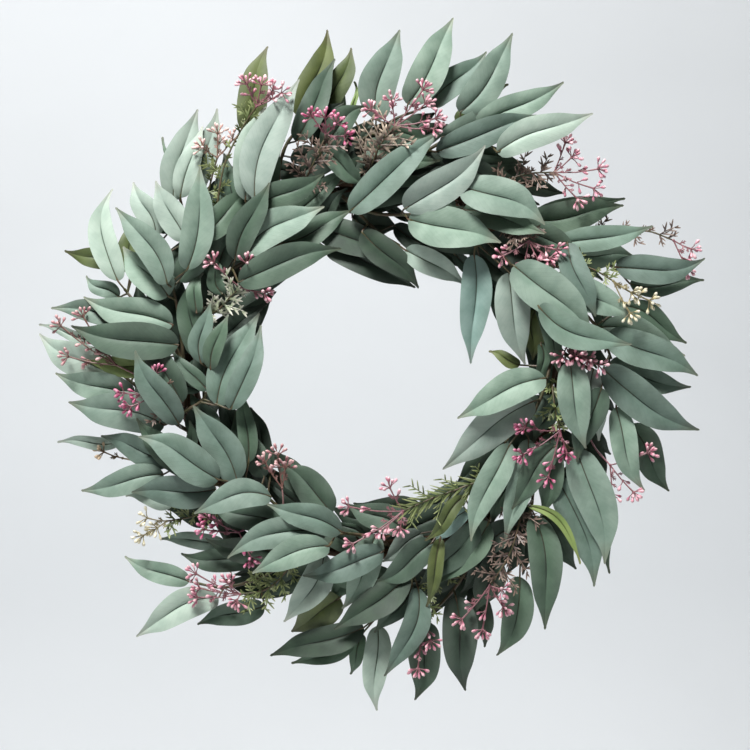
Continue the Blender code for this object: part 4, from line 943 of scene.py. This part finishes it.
def spreadRadii(radii):
    made = []
    for start, end in zip(radii, radii[1:]):
        made += [start, (start + end) / 2]
    return [*made, radii[-1]]


def taper(route, start, end, bump):
    # a radius for each point of a route, each with its own small bump
    last = len(route) - 1
    return [start + (end - start) * (j / last) + bump(j) for j in range(last + 1)]


def solidOf(skin, firstPoint=0, firstFace=0):
    # the search tree and the corners of what a skin holds, or of what was added to it last
    points = skin["points"][firstPoint:]
    faces = [tuple(i - firstPoint for i in face) for face in skin["faces"][firstFace:]]
    low = [min(point[i] for point in points) for i in range(3)]
    high = [max(point[i] for point in points) for i in range(3)]
    return BVHTree.FromPolygons(points, faces), low, high


def meets(one, others):
    tree, low, high = one
    for other, otherLow, otherHigh in others:
        apart = any(low[i] > otherHigh[i] or high[i] < otherLow[i] for i in range(3))
        if not apart and tree.overlap(other):
            return True
    return False


def cellAt(point):
    return round(point.x / filler["cell"]), round(point.z / filler["cell"])


def placeLeaf(skin, row, root, depths, tone, seed, stations, solids):
    # a leaf that others keep clear of, and the cells that it hides unless it lies low on the ring
    starts = len(skin["points"]), len(skin["faces"])
    addLeaf(skin, row, root, depths, tone, seed, stations)
    solids.append(solidOf(skin, *starts))
    for point in skin["points"][starts[0] :]:
        overRing = abs(math.hypot(point.x, point.z) - wreath["ringRadius"]) < filler["ringHalf"]
        if not overRing or -point.y > wreath["ringDepth"] + filler["ringAbove"]:
            covered.add(cellAt(point))


# Short leaves from the same stems, which fill what is still bare over and beside the ring. Lying far in, they
# get the dark tones of painted shade and stand partly for the shade between the leaves.

filler = {
    # tries, bare cells that a leaf must hide, their share of its own, how far in from the foliage's edges
    # they lie, and the leaf's scale
    "rounds": ((12000, 6, 0.12, 0, 1.0), (14000, 3, 0.05, 12, 0.62)),
    "seed": 21,
    "cell": 4,
    "ringHalf": 17,      # mm either side of the ring's core, where a leaf hides nothing
    "ringAbove": 12,     # unless it stands this far over it
    "inner": 122,        # the hole's edge, and how much further in or out it lies across and up
    "innerAcross": 8,
    "innerUp": -10,
    "outer": 256,
    "baseIn": (20, 24),  # how far from both edges a leaf starts
    "tipsIn": 9,         # how far outside the hole's edge the tips stay
    "tipReach": 272,
    "lengths": (46, 92),
    "widths": (17, 31),
    "bows": (-5, 6),
    "turns": (40, 140),  # degrees from the way out, 90 along the ring
    "depths": (
        (32, 22), (38, 30), (42, 38), (26, 16), (44, 28), (48, 42), (34, 44), (18, 10), (50, 26),
        (11, 7), (54, 46), (24, 20), (20, 26), (29, 33), (14, 14), (58, 52), (36, 18),
    ),
    "stalkReach": 36,
    "stations": 18,
    "trialStations": 7,
}


def buildSprays():
    count = missing = 0
    for name, stems in sprays.items():
        rand = random.Random(name)
        cad = cadPoints(name)
        skin = startPiece(name, name + "Foliage", "leaf")
        routes = stemRoutes[name] = []
        for i, (given, _) in enumerate(stems):
            knots = [facePoint(*spot) for spot in (given if i else rooted(given))]
            if i:
                knots[0] = nearestOn(routes[0], knots[0])
            routes.append(smoothRoute(knots, stem["cadStep"]))
            route = smoothRoute(routes[i], stem["step"])
            start = stem["forkRadius"] if i else stem["radius"]
            radii = taper(route, start, stem["tipRadius"], lambda j: 0.12 * math.sin(j * 1.9 + rand.random()))
            addTube(skin, route, radii, stem["sides"], "stem", rand.random())
        placed.append(solidOf(skin))
        for i, (route, leaves) in enumerate(stems):
            for row in (*leaves, *ruleLeaves(route, i == 0)):
                depths = settledDepths(row, cad)
                if depths is None:
                    missing += 1
                    continue
                root = nearestOn(routes[i], facePoint(row[0], row[1], row[6]))
                tone = row[8] or toneAt(depths)
                seed = name + str(row[:4])
                placeLeaf(skin, row, root, depths, tone, seed, leafShape["stations"], placed)
                count += 1
    print("sprays built:", count, "leaves,", missing, "left out because the CAD has no place for them")


buildSprays()


# Picks: a twig's route (x, z, d) from the ring, its umbels (x, z), and the finish of its berries and twig.

picks = {
    "PickTopLeft": (
        [(-150, 118, 38), (-152, 150, 50), (-146, 196, 52), (-130, 232, 50), (-114, 256, 54)],
        [(-122, 278), (-108, 277), (-97, 272), (-88, 268)], "pink", "olive",
    ),
    "PickTopLeftSmall": (
        [(-168, 92, 36), (-168, 140, 46), (-160, 180, 46), (-153, 206, 46)],
        [(-152, 230), (-138, 225), (-166, 216)], "blush", "olive",
    ),
    "PickTopMagenta": (
        [(-72, 170, 38), (-62, 188, 58), (-52, 208, 66), (-44, 226, 66)],
        [(-56, 244), (-44, 243), (-34, 237), (-26, 226)], "magenta", "brown",
    ),
    "PickTop": (
        [(-12, 184, 38), (2, 200, 54), (10, 218, 62), (24, 236, 62)],
        [(52, 272), (54, 258), (64, 244), (62, 234), (22, 260), (2, 252)], "pink", "brown",
    ),
    "PickTopRight": (
        [(110, 150, 38), (132, 180, 48), (154, 190, 52), (182, 192, 52)],
        [(194, 220), (200, 206), (226, 195), (222, 176), (206, 166)], "pink", "brown",
    ),
    "PickRightTop": (
        [(128, 132, 38), (136, 138, 56), (146, 134, 64), (156, 124, 66)],
        [(183, 114), (176, 106), (166, 104), (154, 104), (132, 108)], "pink", "brown",
    ),
    "PickCream": (
        [(166, 92, 34), (196, 100, 52), (224, 94, 58), (240, 84, 62)],
        [(258, 72), (256, 52), (276, 64)], "cream", "olive",
    ),
    "PickRightFar": (
        [(152, 106, 24), (180, 124, 20), (212, 134, 20), (250, 136, 26), (284, 134, 30), (304, 126, 32)],
        [(322, 117), (318, 98)], "pink", "brown",
    ),
    "PickRight": (
        [(186, 40, 38), (190, 30, 52), (196, 20, 60)],
        [(190, 9), (202, 9), (214, 5), (225, 0)], "pink", "pink",
    ),
    "PickRightMagenta": (
        [(186, -8, 38), (182, -26, 54), (184, -46, 62), (188, -64, 64)],
        [(152, -88), (176, -110), (194, -86), (154, -62)], "magenta", "olive",
    ),
    "PickRightPale": (
        [(186, -28, 30), (210, -56, 38), (226, -84, 44), (240, -100, 46)],
        [(242, -128), (262, -126), (276, -88)], "pink", "pink",
    ),
    "PickLowRight": (
        [(158, -104, 38), (150, -150, 52), (138, -190, 56), (120, -218, 56)],
        [(92, -252), (112, -262), (130, -222), (132, -240)], "pink", "brown",
    ),
    "PickBottom": (
        [(96, -164, 34), (80, -196, 42), (62, -226, 44), (54, -248, 46)],
        [(47, -266), (60, -274), (48, -302)], "pink", "olive",
    ),
    "PickBottomInner": (
        [(140, -118, 38), (116, -114, 60), (84, -124, 68), (56, -134, 70), (34, -144, 70)],
        [(-20, -140), (-16, -176), (20, -122), (30, -160), (12, -162)], "pink", "olive",
    ),
    "PickInnerLeft": (
        [(-88, -168, 36), (-86, -152, 52), (-86, -134, 62), (-87, -122, 64)],
        [(-103, -98), (-91, -90), (-84, -103)], "rose", "rose",
    ),
    "PickBottomLeftMagenta": (
        [(-108, -152, 38), (-118, -160, 54), (-130, -166, 60)],
        [(-158, -152), (-163, -163), (-118, -190)], "magenta", "magenta",
    ),
    "PickBottomLeft": (
        [(-72, -172, 36), (-84, -206, 50), (-104, -224, 54), (-128, -228, 54)],
        [(-172, -208), (-168, -222), (-170, -231), (-140, -218), (-132, -234)], "pink", "olive",
    ),
    "PickLeftCream": (
        [(-136, -130, 34), (-160, -146, 42), (-184, -153, 44), (-202, -156, 44)],
        [(-222, -153), (-226, -170), (-212, -162)], "cream", "olive",
    ),
    "PickLeftSeed": (
        [(-166, -96, 28), (-200, -104, 26), (-232, -98, 24), (-250, -94, 24)],
        [(-268, -88)], "beige", "beige",
    ),
    "PickLeft": (
        [(-186, -44, 36), (-194, -46, 54), (-204, -40, 62), (-212, -30, 64)],
        [(-242, -28), (-218, -17), (-236, -41), (-212, -10)], "magenta", "brown",
    ),
    "PickLeftFar": (
        [(-182, -35, 30), (-200, -29, 46), (-228, -12, 58), (-252, 0, 60)],
        [(-306, 38), (-284, 47), (-298, 8), (-270, 18), (-260, 10)], "rose", "rose",
    ),
    "PickLeftInner": (
        [(-166, 44, 38), (-152, 54, 56), (-140, 66, 60), (-130, 76, 62)],
        [(-154, 101), (-122, 99), (-106, 92), (-106, 72)], "pink", "pale",
    ),
}
twig = {
    "radius": 1.15,
    "tipRadius": 0.85,
    "step": 4,
    "sides": 7,
    "receptacleGap": 1.5,
    "knobPlaces": (-1.4, -0.6, 0.6, 1.4),
    "knobRadii": (0.7, 1.35, 1.35, 0.6),
}
# how a twig is set: its needles' number, length, half width, tines and lean ahead, then its side shoots and
# their length
plainTwig = (14, 13, 1.2, 3, 0.75, 4, 20)
twigStyles = {
    "PickTop": (16, 16, 1.7, 2, 0.6, 12, 36),
    "PickTopMagenta": (16, 14, 1.3, 3, 0.75, 7, 28),
    "PickTopRight": (16, 15, 1.3, 3, 0.75, 6, 26),
    "PickRightTop": (18, 14, 1.3, 3, 0.75, 6, 24),
    "PickLowRight": (22, 14, 1.2, 3, 0.75, 9, 28),
    "PickBottomLeft": (20, 13, 1.2, 3, 0.75, 8, 26),
    "PickBottomInner": (60, 21, 1.0, 0, 1.3, 6, 26),
    "PickLeft": (16, 15, 1.4, 3, 0.7, 5, 26),
    "PickLeftInner": (16, 16, 1.5, 3, 0.7, 4, 24),
}
paleNeedles = {"PickTop": "straw"}  # where they aren't the twig's colour
needle = {
    "firstShare": 0.22,
    "lastShare": 0.99,
    "flat": 0.3,
    "radii": (0.7, 1.0, 0.9, 0.75, 0.25),   # shares of its half width, from root to tip
    "tineRadii": (0.8, 0.75, 0.22),
    "backRoom": 3,          # a needle's tip stays this far forward of the wreath's back
    "shootSpacing": 3.6,    # half widths from one needle to the next
    "shootLength": 12,
    "shootRadius": 0.7,
    "shootRadii": (1.2, 1.0, 0.9, 0.75, 0.5),
}
umbel = {
    "cadReach": 14,     # mm from an umbel's middle to the tips of its berries
    "cadFan": 52,
    "cadTurn": 0.25,
    "cadStagger": 0.45,
    "berries": 8,
    "spread": 78,       # degrees from the ray's heading to the outermost berries
    "berryLength": 7.0,
    "berryRadius": 1.65,
    "stalkRadius": 0.5,
    "stalkRadii": (1.3, 1.0, 0.95, 1.0, 1.25),
    "rayRadius": 0.8,
    "rayRadii": (1.1, 0.95, 0.9, 0.95, 1.25),
    "sag": 0.04,
    "bractRay": 12,     # mm; a longer ray has three bracts
    "berryRay": 22,     # and a longer one still has berries part way along it
    "sideBerries": 3,
}
# a teardrop's profile: share of its length from the stalk, share of its radius
teardrop = (
    (0.0, 0.26), (0.15, 0.38), (0.32, 0.62), (0.50, 0.88),
    (0.66, 1.0), (0.80, 0.9), (0.92, 0.58), (0.985, 0.2),
)
quarters = (0.0, 0.25, 0.5, 0.75, 1.0)
leafSolids = [*placed]


def curved(start, run, curl, share):
    # the place at a share of a needle or shoot, which bends as it goes
    return start + run * share + curl * share * share


def joinIfClear(skin, trial):
    clear = not meets(solidOf(trial), leafSolids)
    if clear:
        joinSkin(skin, trial)
    return clear


def addNeedle(skin, start, heading, facing, length, width, kind, tines, rand):
    # a flat needle that curves a little, with tines forked off both sides
    side = heading.cross(facing).normalized()
    out = side.cross(heading).normalized()
    run = heading * length
    curl = out * (rand.uniform(-0.12, 0.2) * length)
    shape = {"kind": kind, "tint": rand.random(), "scale": width, "flat": needle["flat"], "facing": out}
    addTube(skin, [curved(start, run, curl, share) for share in quarters], needle["radii"], 6, **shape)
    for k in range(tines):
        way = 1 if k % 2 else -1
        tine = (heading * 0.75 + side * way * 0.7 + out * rand.uniform(-0.15, 0.25)).normalized()
        reach = length * (0.52 - 0.09 * k)
        at = curved(start, run, curl, 0.24 + 0.19 * k)
        line = [at, at + tine * reach * 0.5, at + (tine + heading * 0.15).normalized() * reach]
        addTube(skin, line, needle["tineRadii"], 6, **shape)


def addClearNeedle(skin, *about):
    trial = newSkin()
    addNeedle(trial, *about)
    joinIfClear(skin, trial)


def addShoot(skin, start, heading, length, wide, kind, tines, rand):
    # a thin side shoot, set with smaller needles off both sides
    side = heading.cross(backwards).normalized()
    run = heading * length
    curl = side * (rand.uniform(-0.18, 0.18) * length)
    trial = newSkin()
    route = [curved(start, run, curl, share) for share in quarters]
    addTube(trial, route, needle["shootRadii"], 6, kind, rand.random(), needle["shootRadius"])
    if not joinIfClear(skin, trial):
        return
    count = round(length / (needle["shootSpacing"] * wide))
    for k in range(count):
        share = (k + 0.6) / count
        at = curved(start, run, curl, share)
        way = 1 if k % 2 else -1
        lean = (heading * 0.8 + side * way * 0.75 + backwards * rand.uniform(-0.4, 0.15)).normalized()
        facing = Vector((rand.uniform(-0.3, 0.3), -1, rand.uniform(-0.3, 0.3))).normalized()
        reach = needle["shootLength"] * rand.uniform(0.7, 1.1) * (1 - 0.3 * share)
        addClearNeedle(skin, at, lean, facing, reach, wide, kind, tines, rand)


def addStalkedBerry(skin, at, fan, reach, away, finish, rand):
    # a teardrop berry on its own thin stalk, leaning out to the front where a leaf is in its way
    length = umbel["berryLength"] * rand.uniform(0.85, 1.1)
    radius = umbel["berryRadius"] * rand.uniform(0.85, 1.1)
    berryTint, stalkTint = rand.random(), rand.random()
    for lean in (0.0, -0.6, -1.4):
        heading = (fan + backwards * lean).normalized()
        tip = at + heading * reach
        start = tip - heading * length
        along = tip - start
        trial = newSkin()
        route = [start + along * share for share, _ in teardrop]
        radii = [radius * wide for _, wide in teardrop]
        addTube(trial, route, radii, 9, "berry " + finish, berryTint, facing=along.normalized().orthogonal())
        if joinIfClear(skin, trial):
            stalk = smoothTube([at, at.lerp(start, 0.5) + away * 0.7, start + heading * 0.4])
            addTube(skin, stalk, umbel["stalkRadii"], 5, "stalk " + finish, stalkTint, umbel["stalkRadius"])
            return


def addUmbel(skin, fork, centre, finish, rand):
    # a ray with small bracts, and the fan of berries that it ends in
    away = (centre - fork).normalized()
    reach = (centre - fork).length
    middle = fork.lerp(centre, 0.5) + Vector((0, 0, -umbel["sag"] * reach))
    ray = smoothTube([fork, middle, centre])
    addTube(skin, ray, umbel["rayRadii"], 6, "stalk " + finish, rand.random(), umbel["rayRadius"])
    side = away.cross(backwards)
    side = side.normalized() if side.length > 0.1 else sideways
    out = side.cross(away).normalized()
    for _ in range(3 if reach > umbel["bractRay"] else 1):
        lean = rand.uniform(0, fullTurn)
        bract = (away * 0.8 + side * math.cos(lean) + out * math.sin(lean) * 0.6).normalized()
        at = fork.lerp(centre, rand.uniform(0.1, 0.8))
        addNeedle(skin, at, bract, -out, rand.uniform(5, 8), 0.75, "stalk " + finish, 3, rand)
    if reach > umbel["berryRay"]:
        at = fork.lerp(centre, rand.uniform(0.5, 0.68))
        for _ in range(umbel["sideBerries"]):
            turn = rand.uniform(-1.1, 1.1)
            fan = away * math.cos(turn) + side * math.sin(turn) + out * rand.uniform(-0.5, 0.9)
            addStalkedBerry(skin, at, fan, rand.uniform(9.5, 13), away, finish, rand)
    count = umbel["berries"] + rand.choice((-1, 0, 1))
    offset = rand.uniform(0, fullTurn)
    for k in range(count):
        lean = math.radians(umbel["spread"]) * math.sqrt((k + 0.35) / count)
        turn = offset + k * goldenTurn
        fan = away * math.cos(lean) + (side * math.cos(turn) + out * math.sin(turn) * 0.85) * math.sin(lean)
        fan = (fan + 0.08 * Vector([rand.uniform(-1, 1) for _ in range(3)])).normalized()
        addStalkedBerry(skin, centre, fan, umbel["cadReach"] * rand.uniform(0.80, 1.0), away, finish, rand)


def umbelDepth(cad, fork, x, z, number):
    # the umbel's depth in the CAD, from the tips of its berries there
    away = Vector((x - fork.x, 0, z - fork.z)).normalized()
    count = 2 + number % 2
    reach = umbel["cadReach"]
    found = []
    for k in range(count):
        turn = math.radians(umbel["cadFan"]) * (k - (count - 1) / 2)
        turn += umbel["cadTurn"] * math.sin(3.1 * number)
        across = away.x * math.cos(turn) - away.z * math.sin(turn)
        up = away.x * math.sin(turn) + away.z * math.cos(turn)
        fan = Vector((across, umbel["cadStagger"] * (-1 if k % 2 else 1), up)).normalized()
        depth = cadDepth(cad, x + fan.x * reach, z + fan.z * reach)
        if depth is not None:
            found.append(depth + fan.y * reach)
    return sorted(found)[len(found) // 2] if found else None


def dressTwig(skin, route, style, kind, rand):
    # the twig's side shoots, then its needles all round it
    needles, length, wide, tines, leanAhead, shoots, shootLength = style
    last = len(route) - 2
    for i in range(shoots):
        at = int((0.35 + 0.6 * i / (shoots - 1)) * last)
        ahead = (route[at + 1] - route[at]).normalized()
        side = ahead.cross(backwards).normalized() * (1 if i % 2 else -1)
        heading = (ahead * 0.6 + side + backwards * rand.uniform(-0.45, 0.1)).normalized()
        reach = shootLength * rand.uniform(0.7, 1.05)
        addShoot(skin, route[at], heading, reach, wide * 0.9, kind, tines // 3, rand)
    for i in range(needles):
        share = needle["firstShare"] + (needle["lastShare"] - needle["firstShare"]) * i / (needles - 1)
        at = min(int(share * (last + 1)), last)
        ahead = (route[at + 1] - route[at]).normalized()
        side = ahead.cross(backwards).normalized()
        out = side.cross(ahead).normalized()
        turn = i * goldenTurn + rand.uniform(-0.3, 0.3)
        lean = side * math.cos(turn) + out * math.sin(turn) * 0.7
        heading = (ahead * leanAhead + lean.normalized()).normalized()
        reach = length * rand.uniform(0.75, 1.1)
        if -(route[at] + heading * reach).y >= needle["backRoom"]:
            facing = (0.4 * lean - backwards).normalized()
            addClearNeedle(skin, route[at], heading, facing, reach, wide, kind, tines, rand)


def buildPicks():
    umbels = 0
    for name, (given, places, finish, twigFinish) in picks.items():
        rand = random.Random(name)
        points = smoothRoute([facePoint(*spot) for spot in rooted(given)], stem["cadStep"])
        route = smoothRoute(points, twig["step"])
        radii = taper(route, twig["radius"], twig["tipRadius"], lambda j: 0.1 * math.sin(2.3 * j))
        away = (points[-1] - points[-2]).normalized()
        if finish == twigFinish:
            # twig and berries of one colour are one piece
            node, fork = name, points[-1]
            made = [startPiece(node, name + "Berries", finish)]
            addTube(made[0], route, radii, twig["sides"], "needle " + finish, rand.random())
        else:
            node, fork = name + "Buds", points[-1] + away * twig["receptacleGap"]
            made = [startPiece(name + "Twig", name + "Needles", twigFinish)]
            addTube(made[0], route, radii, twig["sides"], "stem", rand.random())
            kind = "needle " + paleNeedles.get(name, twigFinish)
            dressTwig(made[0], route, twigStyles.get(name, plainTwig), kind, rand)
            made.insert(0, startPiece(node, name + "Berries", finish))
        knob = [fork + away * step for step in twig["knobPlaces"]]
        addTube(made[0], knob, twig["knobRadii"], 8, "stalk " + finish, 0.5)
        cad = cadPoints(node)
        for number, (x, z) in enumerate(places):
            depth = umbelDepth(cad, fork, x, z, number)
            if depth is not None:
                addUmbel(made[0], fork, facePoint(x, z, depth), finish, rand)
                umbels += 1
        placed.extend(solidOf(skin) for skin in made)
    print("picks built:", umbels, "umbels")


buildPicks()


# The filling leaves come last, so that they keep clear of everything.


def stemNear(base, ahead):
    # the spray and the place on its stem that a filling leaf grows from
    best = (filler["stalkReach"], None, None)
    for name, routes in stemRoutes.items():
        for route in routes:
            spot = nearestOn(route, base - ahead * 10)
            gap = math.hypot(spot.x - base.x, spot.z - base.z)
            if gap < best[0]:
                best = (gap, name, spot)
    return best[1:]


def holeEdge(around):
    return filler["inner"] + filler["innerAcross"] * math.sin(around) + filler["innerUp"] * math.cos(around)


def tryFiller(rand, gain, gainShare, margin, scale, solids, seed):
    # one leaf at a place found by chance, if it hides enough and has room
    around = rand.uniform(0, fullTurn)
    inner = holeEdge(around)
    baseIn, baseOut = filler["baseIn"]
    radius = rand.uniform(inner + baseIn, filler["outer"] - baseOut)
    heading = around + math.radians(rand.uniform(*filler["turns"]))
    length = rand.uniform(*filler["lengths"]) * scale
    width = rand.uniform(*filler["widths"]) * scale
    bow = rand.uniform(*filler["bows"])
    ahead = Vector((math.sin(heading), 0, math.cos(heading)))
    side = Vector((ahead.z, 0, -ahead.x))
    base = Vector((radius * math.sin(around), 0, radius * math.cos(around)))
    tip = base + ahead * length
    if not holeEdge(math.atan2(tip.x, tip.z)) + filler["tipsIn"] < tip.length < filler["tipReach"]:
        return False
    cells = set()
    for t in [i / 12 for i in range(1, 12)]:
        half = halfWidth(width, t) * 0.85
        for s in (-1, -0.5, 0, 0.5, 1):
            spot = base + ahead * length * t + side * half * s
            if inner + margin < spot.length < filler["outer"] - margin:
                cells.add(cellAt(spot))
    if len(cells - covered) < max(gain, gainShare * len(cells)):
        return False
    name, root = stemNear(base, ahead)
    if name is None:
        return False
    row = (base.x, base.z, tip.x, tip.z, width, bow)
    for depths in filler["depths"]:
        trial = newSkin()
        addLeaf(trial, row, None, depths, "deep", seed, filler["trialStations"])
        if not meets(solidOf(trial), solids):
            placeLeaf(skins[name], row, root, depths, toneAt(depths), seed, filler["stations"], solids)
            return True
    return False


def addFillers():
    rand = random.Random(filler["seed"])
    solids = [*placed, *(solidOf(skin) for node, skin in skins.items() if node.startswith("RingCane"))]
    count = 0
    for tries, *wanted in filler["rounds"]:
        for _ in range(tries):
            count += tryFiller(rand, *wanted, solids, f"extra {count}")
    print("filling leaves added:", count)


addFillers()

for node, skin in skins.items():
    makePiece(node, skin)
print("pieces made:", len(skins), "with", sum(len(skin["faces"]) for skin in skins.values()), "faces")

bpy.context.view_layer.update()
